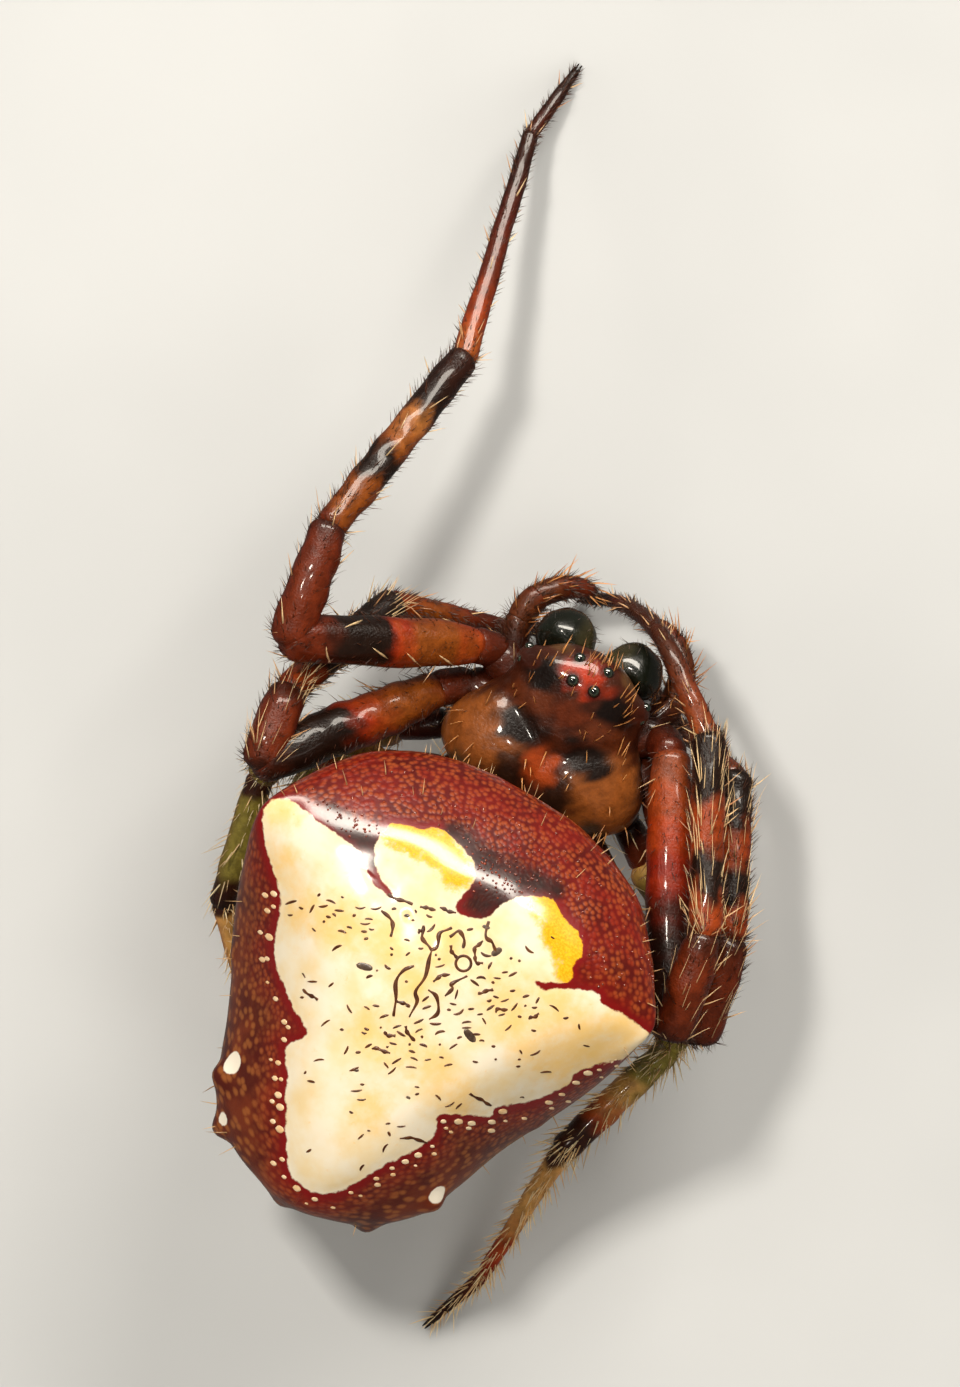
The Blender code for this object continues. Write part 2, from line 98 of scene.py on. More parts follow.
BELLY_RING = (
    (0.0, -1.62, 2.10), (0.9, -1.75, 2.05), (1.55, -2.30, 1.85), (1.75, -3.20, 1.65),
    (1.45, -4.20, 1.60), (1.05, -5.00, 1.70), (0.60, -5.45, 1.85), (0.0, -5.60, 1.90),
)
BELLY_POLE = (0.0, -3.4, 1.02)
FLAT_RADIUS = 2.35
GIRTH_LEVEL = 3.0
BELLY_LEVEL = 4.0
BLUR_CELL = 0.06
BLUR_SPAN = 15
BLUR_CORNER = (-3.4, -7.4)
BLUR_LEVELS = (2.0, 2.75)

# Height from which a drawing is dropped on the skin, and where one that misses looks for it
DROP_HEIGHT = 9.0
SKIN_HEIGHT = 4.0

# Warts of the abdomen: place, spread and height
WARTS = (
    ((-2.45, -4.48, 3.10), 0.20, 0.11), ((-1.66, -5.78, 3.20), 0.26, 0.16),
    ((-1.45, -6.40, 2.95), 0.26, 0.22), ((-0.35, -6.87, 3.05), 0.28, 0.20),
    ((0.73, -6.62, 2.95), 0.26, 0.18), ((1.28, -5.95, 3.25), 0.24, 0.13),
    ((2.20, -4.60, 3.10), 0.20, 0.09),
)

# Outline of the pale plate on the abdomen, seen from above
PLATE = (
    (-2.80, -2.50), (-2.57, -2.36), (-2.20, -2.42), (-1.63, -2.50), (-1.46, -2.54), (-1.26, -2.74),
    (-0.95, -2.84), (-0.93, -2.78), (-1.17, -2.66), (-1.33, -2.48), (-1.38, -2.28), (-1.30, -2.02),
    (-0.98, -1.93), (-0.79, -1.82), (-0.51, -1.84), (-0.22, -1.96), (-0.09, -2.16), (-0.11, -2.38),
    (-0.14, -2.59), (0.11, -2.60), (0.28, -2.50), (0.35, -2.31), (0.49, -2.12), (0.67, -2.00),
    (0.90, -1.94), (1.12, -2.06), (1.39, -2.16), (1.53, -2.35), (1.50, -2.56), (1.56, -2.66),
    (1.50, -2.80), (1.17, -2.93), (1.32, -2.98), (1.51, -2.85), (1.94, -2.70), (2.04, -2.79),
    (2.46, -2.80), (2.86, -2.92), (2.72, -3.20), (2.47, -3.39), (2.17, -3.70), (2.12, -3.92),
    (1.84, -4.30), (1.48, -4.56), (1.46, -4.70), (1.04, -4.88), (0.89, -5.00), (0.96, -5.16),
    (0.90, -5.39), (0.59, -5.83), (0.31, -6.31), (0.03, -6.53), (-0.25, -6.54), (-0.49, -6.40),
    (-0.89, -5.70), (-0.99, -5.45), (-1.20, -5.12), (-1.06, -4.91), (-1.08, -4.77), (-1.40, -4.59),
    (-1.88, -4.13), (-2.11, -3.51), (-2.58, -3.01), (-2.78, -2.71),
)

# Soft patches of colour on the plate and before it: across, along, radius
YELLOW_PATCHES = (
    (-1.23, -2.10, 0.34), (-0.97, -2.06, 0.40), (-0.70, -2.00, 0.40), (-0.45, -2.08, 0.38),
    (-0.25, -2.22, 0.32), (0.80, -2.06, 0.28), (1.05, -2.10, 0.38), (1.32, -2.25, 0.42),
    (1.44, -2.48, 0.36), (1.48, -2.68, 0.26), (1.14, -2.34, 0.30),
)
TINT_PATCHES = (
    (-1.77, -3.44, 0.59), (-1.29, -3.42, 0.64), (-0.75, -3.34, 0.70), (-0.14, -3.68, 0.70),
    (0.05, -3.08, 0.70), (0.97, -3.32, 0.78), (1.46, -3.70, 0.56), (1.56, -3.08, 0.59),
    (1.05, -4.72, 0.56), (0.56, -4.47, 0.59), (-0.44, -4.35, 0.56), (0.05, -4.45, 0.63),
    (2.40, -2.96, 0.66), (-2.62, -2.52, 0.48), (0.10, -5.30, 0.56), (1.95, -3.35, 0.66),
    (1.92, -3.72, 0.55), (2.32, -3.30, 0.55), (-2.30, -3.05, 0.45),
)
DARK_PATCHES = (
    (-0.60, -1.76, 0.26), (-0.40, -1.80, 0.32), (-0.15, -1.92, 0.42), (0.10, -2.05, 0.50),
    (0.12, -2.40, 0.44), (0.34, -2.25, 0.40), (0.36, -1.92, 0.44), (0.62, -1.84, 0.36),
    (0.88, -1.80, 0.26), (-1.42, -2.36, 0.30), (-1.60, -2.36, 0.32), (-1.85, -2.31, 0.30),
    (-2.08, -2.26, 0.26), (-1.30, -2.55, 0.22),
)
WHITE_SPOTS = ((-1.71, -5.60, 3.45, 0.15), (1.31, -5.86, 3.40, 0.13), (-1.50, -6.30, 3.25, 0.10))

# Small pits of the muscles: across, along, half length, half width, heading in degrees
SIGILLA = (
    (-0.79, -3.76, 0.105, 0.058, 13), (0.77, -3.91, 0.100, 0.064, -22), (0.58, -2.83, 0.075, 0.058, 60),
    (0.32, -2.62, 0.050, 0.034, 10), (-0.62, -2.95, 0.034, 0.026, 30), (-0.28, -4.95, 0.030, 0.024, 20),
    (0.45, -4.95, 0.030, 0.024, 0),
)

# Dark veins drawn on the plate
VEINS = (
    ((-0.38, -2.97), (-0.31, -3.11), (-0.15, -3.19)),
    ((-0.06, -2.82), (-0.15, -2.95), (-0.11, -3.10), (-0.15, -3.19)),
    ((-0.15, -3.19), (-0.12, -3.30), (-0.06, -3.52), (-0.09, -3.73), (-0.01, -3.84), (-0.00, -4.06)),
    ((-0.25, -3.47), (-0.34, -3.59), (-0.36, -3.75), (-0.25, -3.95), (-0.18, -4.14)),
    ((-0.25, -3.95), (-0.15, -3.94), (-0.06, -3.93)),
    ((0.05, -3.64), (0.17, -3.68), (0.29, -3.83), (0.22, -3.97)),
    ((-0.93, -3.05), (-0.74, -3.10), (-0.68, -3.28)),
    ((-0.03, -2.94), (0.04, -2.82), (0.14, -2.88), (0.19, -2.98)),
    ((0.36, -3.00), (0.32, -2.90), (0.37, -2.79)), ((0.36, -3.00), (0.42, -3.06), (0.50, -3.04)),
    ((0.32, -2.54), (0.37, -2.72), (0.48, -2.76), (0.58, -2.83)),
    ((0.06, -3.52), (0.10, -3.42), (0.19, -3.35)),
    ((0.27, -3.62), (0.30, -3.49), (0.28, -3.43), (0.39, -3.27)),
    ((0.61, -3.40), (0.69, -3.33), (0.76, -3.26)), ((0.91, -3.50), (0.94, -3.45), (1.04, -3.40)),
    ((1.32, -3.39), (1.41, -3.27)), ((-0.95, -2.83), (-0.80, -2.82), (-0.62, -2.79)),
    ((-0.52, -2.77), (-0.44, -2.75), (-0.34, -2.72)), ((-0.30, -2.67), (-0.20, -2.66), (-0.10, -2.64)),
    ((-0.20, -4.37), (-0.12, -4.38), (-0.05, -4.34)), ((0.00, -4.17), (0.08, -4.25), (0.20, -4.28)),
    ((-0.24, -4.62), (-0.13, -4.58), (-0.00, -4.57)), ((-1.34, -4.38), (-1.22, -4.39), (-1.11, -4.40)),
    ((1.11, -4.55), (1.27, -4.56), (1.41, -4.56)), ((0.60, -5.45), (0.75, -5.37), (0.92, -5.35)),
    ((-0.36, -2.99), (-0.40, -3.08)), ((0.03, -3.02), (0.10, -3.10), (0.18, -3.12)),
)
VEIN_RING = (0.28, -3.15, 0.095)
VEIN_WIDTH = 0.026

# Scattered dashes: middle of each cloud, its spread across and along, how many, then
# half a dash's length and width, and the gap that is kept round it
DASH_CLOUDS = (
    (-1.35, -3.32, 0.42, 0.12, 46), (-0.08, -3.35, 0.42, 0.34, 60), (0.85, -3.34, 0.42, 0.20, 84),
    (0.05, -4.40, 0.38, 0.24, 84), (1.45, -3.80, 0.28, 0.16, 14), (1.08, -4.80, 0.26, 0.14, 16),
    (-1.25, -4.40, 0.22, 0.16, 12), (0.10, -5.60, 0.34, 0.36, 22),
)
DASH_LENGTH = (0.014, 0.075)
DASH_WIDTH = (0.014, 0.021)
DASH_GAP = 0.045

# Rows of dots beside the plate: distance from its outline, pitch and radius of a dot, then
# how far forward they reach and what share of them is left out
RIM_DOT_ROWS = ((0.075, 0.20, 0.046), (0.17, 0.26, 0.036))
RIM_DOT_START = -3.35
RIM_DOT_SKIPPED = 0.22

# Clouds of tiny grains on the red skin: middle, spread across and along, how many
GRAIN_CLOUDS = (
    (0.20, -1.95, 0.34, 0.16, 110), (-1.75, -2.25, 0.26, 0.08, 50), (0.30, -1.60, 0.95, 0.28, 120),
    (1.90, -2.20, 0.30, 0.30, 40),
)
GRAIN_RADIUS = (0.011, 0.020)

# Head and thorax sections: along, half width as a share of half the whole, top, middle, bottom
CARAPACE_WIDTH = 2.71
CARAPACE_SECTIONS = (
    (-1.30, 0.00, 1.80, 1.75, 1.70), (-1.22, 0.25, 1.98, 1.72, 1.42), (-1.05, 0.66, 2.20, 1.70, 1.25),
    (-0.82, 0.92, 2.36, 1.70, 1.15), (-0.56, 1.00, 2.44, 1.70, 1.10), (-0.25, 0.96, 2.46, 1.72, 1.08),
    (0.05, 0.82, 2.52, 1.78, 1.10), (0.35, 0.69, 2.62, 1.90, 1.25), (0.62, 0.63, 2.66, 2.05, 1.55),
    (0.85, 0.46, 2.60, 2.15, 1.80), (1.01, 0.27, 2.47, 2.20, 1.95), (1.08, 0.00, 2.24, 2.22, 2.20),
)
SIDE_EYE_WART = (0.78, 0.63, 2.14)

# Waist, jaws and palps, right side, as across, along, height, half thickness
WAIST = ((0.0, -1.95, 2.05, 0.20), (0.0, -1.55, 1.88, 0.17), (0.0, -1.15, 1.72, 0.20))
JAW_STATIONS = (
    (0.46, 0.76, 1.86, 0.28), (0.47, 1.02, 1.66, 0.385), (0.45, 1.04, 1.34, 0.33),
    (0.41, 1.02, 1.08, 0.235),
)
PALP_STATIONS = (
    (0.82, 0.40, 1.18, 0.17), (1.07, 0.84, 1.22, 0.18), (1.05, 1.27, 1.24, 0.17),
    (0.82, 1.56, 1.12, 0.15), (0.56, 1.69, 1.00, 0.14), (0.42, 1.70, 0.94, 0.10),
)

# Fangs and spinnerets, right side: the line, then half thickness along it
FANG = ((0.40, 1.10, 1.02), (0.28, 1.13, 0.93), (0.15, 1.08, 0.93), (0.07, 1.0, 0.97))
FANG_RADII = (0.075, 0.06, 0.035, 0.012)
SPINNERET_BASE = (((0.0, -4.85, 1.60), (0.0, -4.85, 1.28)), (0.33, 0.32, 0.26))
SPINNERETS = (
    (((0.12, -4.70, 1.40), (0.09, -4.65, 0.93)), (0.15, 0.13, 0.07)),
    (((0.13, -5.02, 1.40), (0.08, -5.11, 0.92)), (0.15, 0.12, 0.06)),
    (((0.05, -4.87, 1.40), (0.04, -4.87, 1.02)), (0.08, 0.07, 0.04)),
)

# Legs: hip, end of the first ring, knee, start and end of the patella, ankle, and the foot's line
LEGS = {
    "left_1": (
        (-1.14, 0.48, 1.74), (-1.44, 0.44, 2.02), (-3.50, -0.58, 3.25), (-3.56, -0.58, 3.32),
        (-3.73, 0.90, 3.25), (-3.23, 3.54, 1.95), (-3.80, 6.43, 0.55), (-3.67, 7.42, 0.07),
    ),
    "left_2": (
        (-1.30, -0.04, 1.60), (-1.60, -0.30, 1.82), (-3.08, -2.10, 2.88), (-3.18, -2.15, 2.98),
        (-3.24, -1.15, 2.70), (-2.60, 0.42, 1.45), (-1.10, 0.84, 0.48), (-0.50, 1.15, 0.07),
    ),
    "left_3": (
        (-1.32, -0.62, 1.38), (-1.80, -0.90, 1.24), (-2.45, -1.20, 1.02), (-2.47, -1.26, 1.00),
        (-2.50, -2.00, 0.82), (-2.42, -2.90, 0.55), (-2.10, -3.65, 0.28), (-1.80, -4.15, 0.07),
    ),
    "left_4": (
        (-1.02, -1.14, 1.45), (-1.80, -1.45, 1.62), (-2.95, -1.68, 1.78), (-2.98, -1.72, 1.80),
        (-3.04, -2.30, 1.78), (-2.73, -3.92, 1.10), (-1.70, -5.05, 0.36), (-1.20, -5.60, 0.07),
    ),
    "right_1": (
        (1.14, 0.48, 1.74), (1.38, 0.34, 2.20), (2.94, -2.70, 2.62), (3.04, -2.74, 3.00),
        (2.80, -1.45, 3.15), (1.69, 0.76, 2.48), (1.14, 1.19, 2.34), (0.73, 1.51, 2.12),
        (0.38, 1.70, 1.56), (0.06, 1.76, 1.02), (-0.24, 1.70, 0.50), (-0.52, 1.56, 0.07),
    ),
    "right_2": (
        (1.34, -0.05, 1.58), (1.82, -0.56, 1.68), (3.26, -2.58, 1.78), (3.37, -2.60, 2.02),
        (3.12, -1.36, 2.32), (2.22, 0.48, 1.72), (1.16, 0.76, 0.50), (0.66, 1.08, 0.07),
    ),
    "right_3": (
        (1.30, -0.68, 1.30), (1.72, -1.00, 1.06), (2.28, -1.30, 0.88), (2.32, -1.27, 0.90),
        (2.42, -0.70, 0.80), (2.36, 0.05, 0.60), (2.05, 0.55, 0.30), (1.78, 0.88, 0.07),
    ),
    "right_4": (
        (1.02, -1.14, 1.40), (1.75, -1.70, 1.28), (2.82, -2.20, 1.15), (2.86, -2.24, 1.15),
        (3.08, -2.90, 1.24), (2.48, -4.66, 1.18), (2.32, -6.58, 0.48), (2.01, -7.38, 0.07),
    ),
}
LEG_GIRTH = {"1": 1.0, "2": 1.0, "3": 0.86, "4": 0.88}

# Half thickness along each length of the first leg, evenly spread from start to end
SEGMENT_RADII = {
    "coxa": (0.25, 0.27, 0.25),
    "trochanter": (0.22, 0.235, 0.225),
    "femur": (0.225, 0.30, 0.32, 0.305, 0.265),
    "patella": (0.25, 0.275, 0.265, 0.205),
    "tibia": (0.19, 0.215, 0.215, 0.215, 0.205),
    "metatarsus": (0.165, 0.14, 0.118, 0.10),
    "tarsus": (0.096, 0.09, 0.078, 0.055),
}

# Hairs that would reach below this height, or this far out of the solids' box, are left out
HAIR_FLOOR = 0.03
HAIR_REACH = 0.18
HAIR_BOX = (
    np.array([cad_low.x / MM - HAIR_REACH, cad_low.y / MM - HAIR_REACH, HAIR_FLOOR]),
    np.array(cad_high) / MM + HAIR_REACH,
)

# A hair: three rings of three points and a tip, its faces, how deep its root lies under
# the skin, and its patch on the unwrap
HAIR_POINTS = 10
HAIR_QUADS = ((0, 1, 4, 3), (3, 4, 7, 6), (1, 2, 5, 4), (4, 5, 8, 7), (2, 0, 3, 5), (5, 3, 6, 8))
HAIR_TRIANGLES = ((6, 7, 9), (7, 8, 9), (8, 6, 9), (2, 1, 0))
HAIR_SINK = 0.01
PATCH_RADIUS = 0.0015

# Shapes of hairs: length, half thickness, lean from the skin's normal and bend, and for
# some the range of their tone, their place along and around the skin, and their stray
PALP_HAIR = {"thick": (0.004, 0.008), "lean": (0.5, 1.0), "bend": 0.2}
LEG_HAIR_LENGTH = (0.08, 0.18)
LEG_BRISTLE_LENGTH = (0.20, 0.36)
LEG_HAIR = {"thick": (0.004, 0.008), "lean": (0.5, 1.05), "bend": 0.2, "along": (0.06, 0.96)}
LEG_BRISTLE = {
    "thick": (0.008, 0.015), "lean": (0.55, 1.05), "bend": 0.12, "tones": (0.2, 1),
    "along": (0.08, 0.95), "stray": 0.16,
}
SHIN_BRISTLE = {
    "length": (0.30, 0.54), "thick": (0.005, 0.009), "lean": (1.28, 1.46), "bend": 0.02,
    "tones": (0.7, 1), "along": (0.04, 0.9), "around": (0, 0.5), "stray": 0.10,
}
PALP_BRISTLE = {
    "length": (0.18, 0.34), "thick": (0.010, 0.016), "lean": (0.5, 0.9), "bend": 0.25,
    "tones": (0.2, 1), "around": (0, 0.5),
}
SPINNERET_HAIR = {
    "length": (0.05, 0.12), "thick": (0.004, 0.007), "lean": (0.6, 1.1), "bend": 0.2,
    "along": (0.3, 0.9),
}
ABDOMEN_BRISTLE = {"thick": (0.006, 0.011), "lean": (0.15, 0.7), "bend": 0.25, "tones": (0.3, 1)}
HEAD_BRISTLE = {"thick": (0.008, 0.014), "bend": 0.2, "tones": (0.2, 1)}

# Bristles of the abdomen and the head: how many, seed, length, and what sets them apart
ABDOMEN_BRISTLES = (
    (36, 61, (0.10, 0.20), {"along": (0.45, 0.62), "around": (0.80, 1.24)}),
    (120, 62, (0.12, 0.26), {"along": (0.55, 0.85)}),
    (60, 63, (0.08, 0.16), {"heading": (-1, 0), "along": (0.85, 0.98)}),
)
HEAD_BRISTLES = (
    (60, 71, (0.12, 0.30), {"lean": (0.4, 1.0), "along": (0.45, 0.9), "around": (0.10, 0.40)}),
    (46, 72, (0.14, 0.28), {
        "lean": (0.3, 0.9), "heading": (-1, 0), "along": (0.12, 0.45), "around": (0.02, 0.48),
    }),
    (120, 73, (0.05, 0.12), {"lean": (0.4, 1.0), "along": (0.1, 0.9), "around": (0.55, 0.95)}),
)

# How far each length of leg runs on past its joint, and how long its rounded end is,
# as shares of its half thickness
JOINT_OVERLAP = 0.45
JOINT_ROUNDING = 0.75

# Dark hairs and pale bristles on each length of leg
SEGMENT_HAIRS = {
    "coxa": (20, 2),
    "trochanter": (24, 3),
    "femur": (330, 12),
    "patella": (190, 12),
    "tibia": (420, 26),
    "metatarsus": (420, 26),
    "tarsus": (200, 8),
}


def tone(red, green, blue):
    """A colour given as it looks on a screen, 0 to 255, as linear light."""
    share = np.array([red, green, blue]) / 255
    low = share / 12.92
    high = ((share + 0.055) / 1.055) ** 2.4
    return tuple(float(v) for v in np.where(share < 0.04045, low, high))


AMBER = tone(132, 68, 18)
ORANGE = tone(150, 60, 17)
DEEP_ORANGE = tone(146, 42, 10)
BLACK = tone(30, 16, 9)
PALP_BROWN = tone(92, 44, 18)
RED_BROWN = tone(100, 37, 14)
PATELLA_BROWN = tone(106, 40, 14)
DARK_BROWN = tone(52, 23, 13)
OLIVE = tone(126, 116, 50)
TAN = tone(198, 150, 84)

# Skins in the colours that their meshes carry: roughness, size of the mottle, depth of
# the relief, shine, and weight and roughness of the clear coat
SKINS = {
    "carapace_skin": (0.36, 0.16, 0.040, 0.15, 0.38, 0.09),
    "leg_skin": (0.36, 0.12, 0.060, 0.15, 0.34, 0.10),
    "jaw_skin": (0.25, 0.10, 0.030, 0.20, 0.60, 0.07),
    "palp_skin": (0.38, 0.10, 0.040, 0.15, 0.20, 0.12),
    "fang_skin": (0.15, 0.12, 0.010, 0.50, 0.50, 0.05),
    "claw_skin": (0.20, 0.12, 0.010, 0.50, 0.00, 0.03),
    "waist_skin": (0.35, 0.12, 0.010, 0.50, 0.00, 0.03),
    "spinneret_skin": (0.50, 0.08, 0.010, 0.50, 0.00, 0.03),
}
MOTTLE_TINTS = ((0.70, 0.66, 0.64), (1.20, 1.16, 1.12))
NOISE_ROUGHNESS = 0.55

# Marks under the gloss of the plate: size and spread of the clouds, and the surface
MARK_LOOK = {
    "pitch": 0.1, "spread": 0.2, "roughness": 0.35, "specular_ior_level": 0.25, "coat_weight": 0.15
}

# Hairs: darkest and lightest colour, and roughness
HAIR_TONES = {
    "abdomen_bristle": (tone(140, 84, 40), tone(236, 196, 140), 0.35),
    "spinneret_hair": (tone(50, 30, 16), tone(150, 110, 60), 0.5),
    "head_bristle": (tone(120, 50, 20), tone(240, 170, 100), 0.3),
    "palp_hair": (tone(20, 14, 10), tone(90, 50, 24), 0.45),
    "palp_bristle": (tone(150, 70, 26), tone(240, 170, 100), 0.3),
    "leg_hair": (tone(14, 10, 8), tone(96, 50, 26), 0.45),
    "leg_bristle": (tone(186, 104, 48), tone(255, 222, 168), 0.3),
    "rear_bristle": (tone(210, 158, 96), tone(255, 236, 190), 0.35),
}

# Lengths of a palp, in hundredths of it, with the colours of their start and end
PALP_SPANS = (
    (0, 30, DARK_BROWN, PALP_BROWN), (28, 44, PALP_BROWN, RED_BROWN),
    (42, 66, PALP_BROWN, RED_BROWN), (64, 100, RED_BROWN, DARK_BROWN),
)

# Bands of colour along each leg: share of the length and colour, blended between
PLAIN_BANDS = {
    "coxa": ((0.0, RED_BROWN), (1.0, DARK_BROWN)),
    "trochanter": ((0.0, DARK_BROWN), (1.0, RED_BROWN)),
}
LONG_LEG_BANDS = {
    **PLAIN_BANDS,
    "femur": (
        (0.00, RED_BROWN), (0.07, ORANGE), (0.20, AMBER), (0.36, AMBER), (0.43, ORANGE),
        (0.48, DEEP_ORANGE), (0.54, BLACK), (0.74, BLACK), (0.86, RED_BROWN), (1.00, RED_BROWN),
    ),
    "patella": ((0.0, RED_BROWN), (0.4, PATELLA_BROWN), (0.8, RED_BROWN), (1.0, DARK_BROWN)),
    "tibia": (
        (0.00, RED_BROWN), (0.06, AMBER), (0.25, AMBER), (0.30, BLACK), (0.39, BLACK),
        (0.46, AMBER), (0.62, tone(176, 112, 54)), (0.69, BLACK), (1.00, DARK_BROWN),
    ),
    "metatarsus": (
        (0.00, DARK_BROWN), (0.04, tone(166, 84, 30)), (0.20, tone(148, 58, 17)),
        (0.36, RED_BROWN), (0.60, tone(80, 26, 12)), (0.85, DARK_BROWN), (1.00, DARK_BROWN),
    ),
    "tarsus": ((0.0, tone(74, 26, 13)), (0.5, DARK_BROWN), (1.0, BLACK)),
}
FOLDED_LEG_BANDS = {
    **PLAIN_BANDS,
    "femur": (
        (0.00, RED_BROWN), (0.08, AMBER), (0.30, AMBER), (0.42, ORANGE), (0.49, DEEP_ORANGE),
        (0.56, BLACK), (0.84, BLACK), (0.92, DARK_BROWN), (1.00, RED_BROWN),
    ),
    "patella": ((0.0, DARK_BROWN), (0.25, PATELLA_BROWN), (0.7, PATELLA_BROWN), (1.0, DARK_BROWN)),
    "tibia": (
        (0.00, RED_BROWN), (0.07, ORANGE), (0.20, ORANGE), (0.25, BLACK), (0.37, BLACK),
        (0.44, ORANGE), (0.62, ORANGE), (0.69, BLACK), (1.00, BLACK),
    ),
    "metatarsus": (
        (0.00, BLACK), (0.08, ORANGE), (0.30, AMBER), (0.60, RED_BROWN), (1.00, DARK_BROWN),
    ),
    "tarsus": ((0.0, RED_BROWN), (0.4, DARK_BROWN), (1.0, BLACK)),
}
RIGHT_LEG_BANDS = {
    **FOLDED_LEG_BANDS,
    "femur": (
        (0.00, RED_BROWN), (0.05, tone(134, 66, 36)), (0.14, tone(150, 66, 22)),
        (0.32, tone(158, 54, 12)), (0.46, tone(132, 30, 8)), (0.60, tone(62, 20, 9)),
        (0.72, BLACK), (1.00, DARK_BROWN),
    ),
    "metatarsus": (
        (0.00, BLACK), (0.06, tone(146, 70, 30)), (0.22, tone(128, 58, 26)),
        (0.45, tone(78, 38, 20)), (1.00, tone(66, 32, 18)),
    ),
}
REAR_LEG_BANDS = {
    **PLAIN_BANDS,
    "femur": (
        (0.00, TAN), (0.45, OLIVE), (0.55, ORANGE), (0.75, DARK_BROWN), (1.00, DARK_BROWN),
    ),
    "patella": ((0.0, DARK_BROWN), (0.3, DARK_BROWN), (0.6, OLIVE), (1.0, OLIVE)),
    "tibia": (
        (0.00, OLIVE), (0.30, OLIVE), (0.45, TAN), (0.66, ORANGE), (0.76, DARK_BROWN),
        (1.00, DARK_BROWN),
    ),
    "metatarsus": (
        (0.00, DARK_BROWN), (0.07, DARK_BROWN), (0.15, TAN), (0.50, TAN), (0.72, ORANGE),
        (0.88, DEEP_ORANGE), (1.00, RED_BROWN),
    ),
    "tarsus": ((0.0, RED_BROWN), (0.4, DARK_BROWN), (1.0, BLACK)),
}
SHORT_LEG_BANDS = {
    **REAR_LEG_BANDS,
    "tibia": (
        (0.00, DARK_BROWN), (0.10, DARK_BROWN), (0.18, OLIVE), (0.70, OLIVE),
        (0.80, DARK_BROWN), (1.00, BLACK),
    ),
}
LEG_BANDS = {
    "left_1": LONG_LEG_BANDS,
    "left_2": FOLDED_LEG_BANDS,
    "left_3": REAR_LEG_BANDS,
    "left_4": SHORT_LEG_BANDS,
    "right_1": RIGHT_LEG_BANDS,
    "right_2": RIGHT_LEG_BANDS,
    "right_3": REAR_LEG_BANDS,
    "right_4": REAR_LEG_BANDS,
}

# Legs whose shins carry long pale bristles that lie close, and how many on each length
BRISTLY_SHINS = ("right_1", "right_2", "left_2")
SHIN_BRISTLES = {"tibia": 64, "patella": 22}

# Painted shade: how much darker the sides and under side of a leg are than its top, in red, green and
# blue
LEG_PAINTED_SHADE = (0.22, 0.42, 0.45)

# Big pale spines behind the first left thigh: root and tip
THIGH_SPINES = (
    ((-2.33, -0.23, 2.90), (-2.59, -0.21, 3.36)),
    ((-1.92, -0.12, 2.51), (-2.20, -0.07, 3.18)),
    ((-1.56, 0.08, 2.26), (-1.82, 0.09, 2.89)),
    ((-2.95, -0.60, 3.17), (-3.11, -0.46, 3.60)),
    ((-2.83, 0.03, 3.03), (-3.02, -0.15, 3.50)),
)


def unit(vectors):
    """Vectors divided by their length."""
    return vectors / np.maximum(np.linalg.norm(vectors, axis=-1, keepdims=True), 1e-9)


def curve_through(points, count, closed=False):
    """Evenly counted points of the Catmull-Rom curve, a cubic between each two knots
    whose slope at a knot is half the way between its neighbours."""
    points = np.asarray(points, float)
    if closed:
        before, after = points[-1:], points[:2]
    else:
        before = 2 * points[:1] - points[1:2]
        after = 2 * points[-1:] - points[-2:-1]
    knots = np.concatenate([before, points, after])
    spans = len(points) if closed else len(points) - 1
    return cubic_between(knots, np.linspace(0, spans, count, endpoint=not closed))


def cubic_between(knots, place):
    """The Catmull-Rom cubic through knots, read at places counted from the second knot."""
    index = np.minimum(place.astype(int), len(knots) - 4)
    t = (place - index).reshape(-1, *[1] * (knots.ndim - 1))
    a, b, c, d = (knots[index + k] for k in range(4))
    return 0.5 * (
        2 * b + (c - a) * t + (2 * a - 5 * b + 4 * c - d) * t**2 + (3 * b - a - 3 * c + d) * t**3
    )


def smooth_step(low, high, values):
    """0 below low, 1 above high, and the cubic 3t2 - 2t3 between."""
    t = np.clip((values - low) / (high - low), 0, 1)
    return t * t * (3 - 2 * t)


def bell(values, width):
    """The bell curve exp(-(values / width)2): 1 at zero, falling off both ways."""
    return np.exp(-((values / width) ** 2))


def blend(first, second, share):
    """Colours mixed: the first where the share is 0 and the second where it is 1."""
    share = share[..., None]
    return np.array(first) * (1 - share) + np.array(second) * share


def full_turn(count):
    """Angles evenly spread round a ring."""
    return np.linspace(0, 2 * math.pi, count, endpoint=False)


def scattered(draw, across, along, count):
    """Places drawn with a normal spread across and along."""
    return np.stack([draw.normal(0, across, count), draw.normal(0, along, count)], -1)


def waves(points, pitch, seed):
    """Gentle unevenness from -1 to 1: the mean of six sine waves of about the given
    pitch, each along its own seeded direction."""
    draw = np.random.default_rng(seed)
    ways = unit(draw.normal(size=(6, 3))) * 2 * math.pi / pitch
    ways *= draw.uniform(0.6, 1.7, (6, 1))
    phases = draw.uniform(0, 2 * math.pi, 6)
    return np.sin(points @ ways.T + phases).mean(-1) * 2


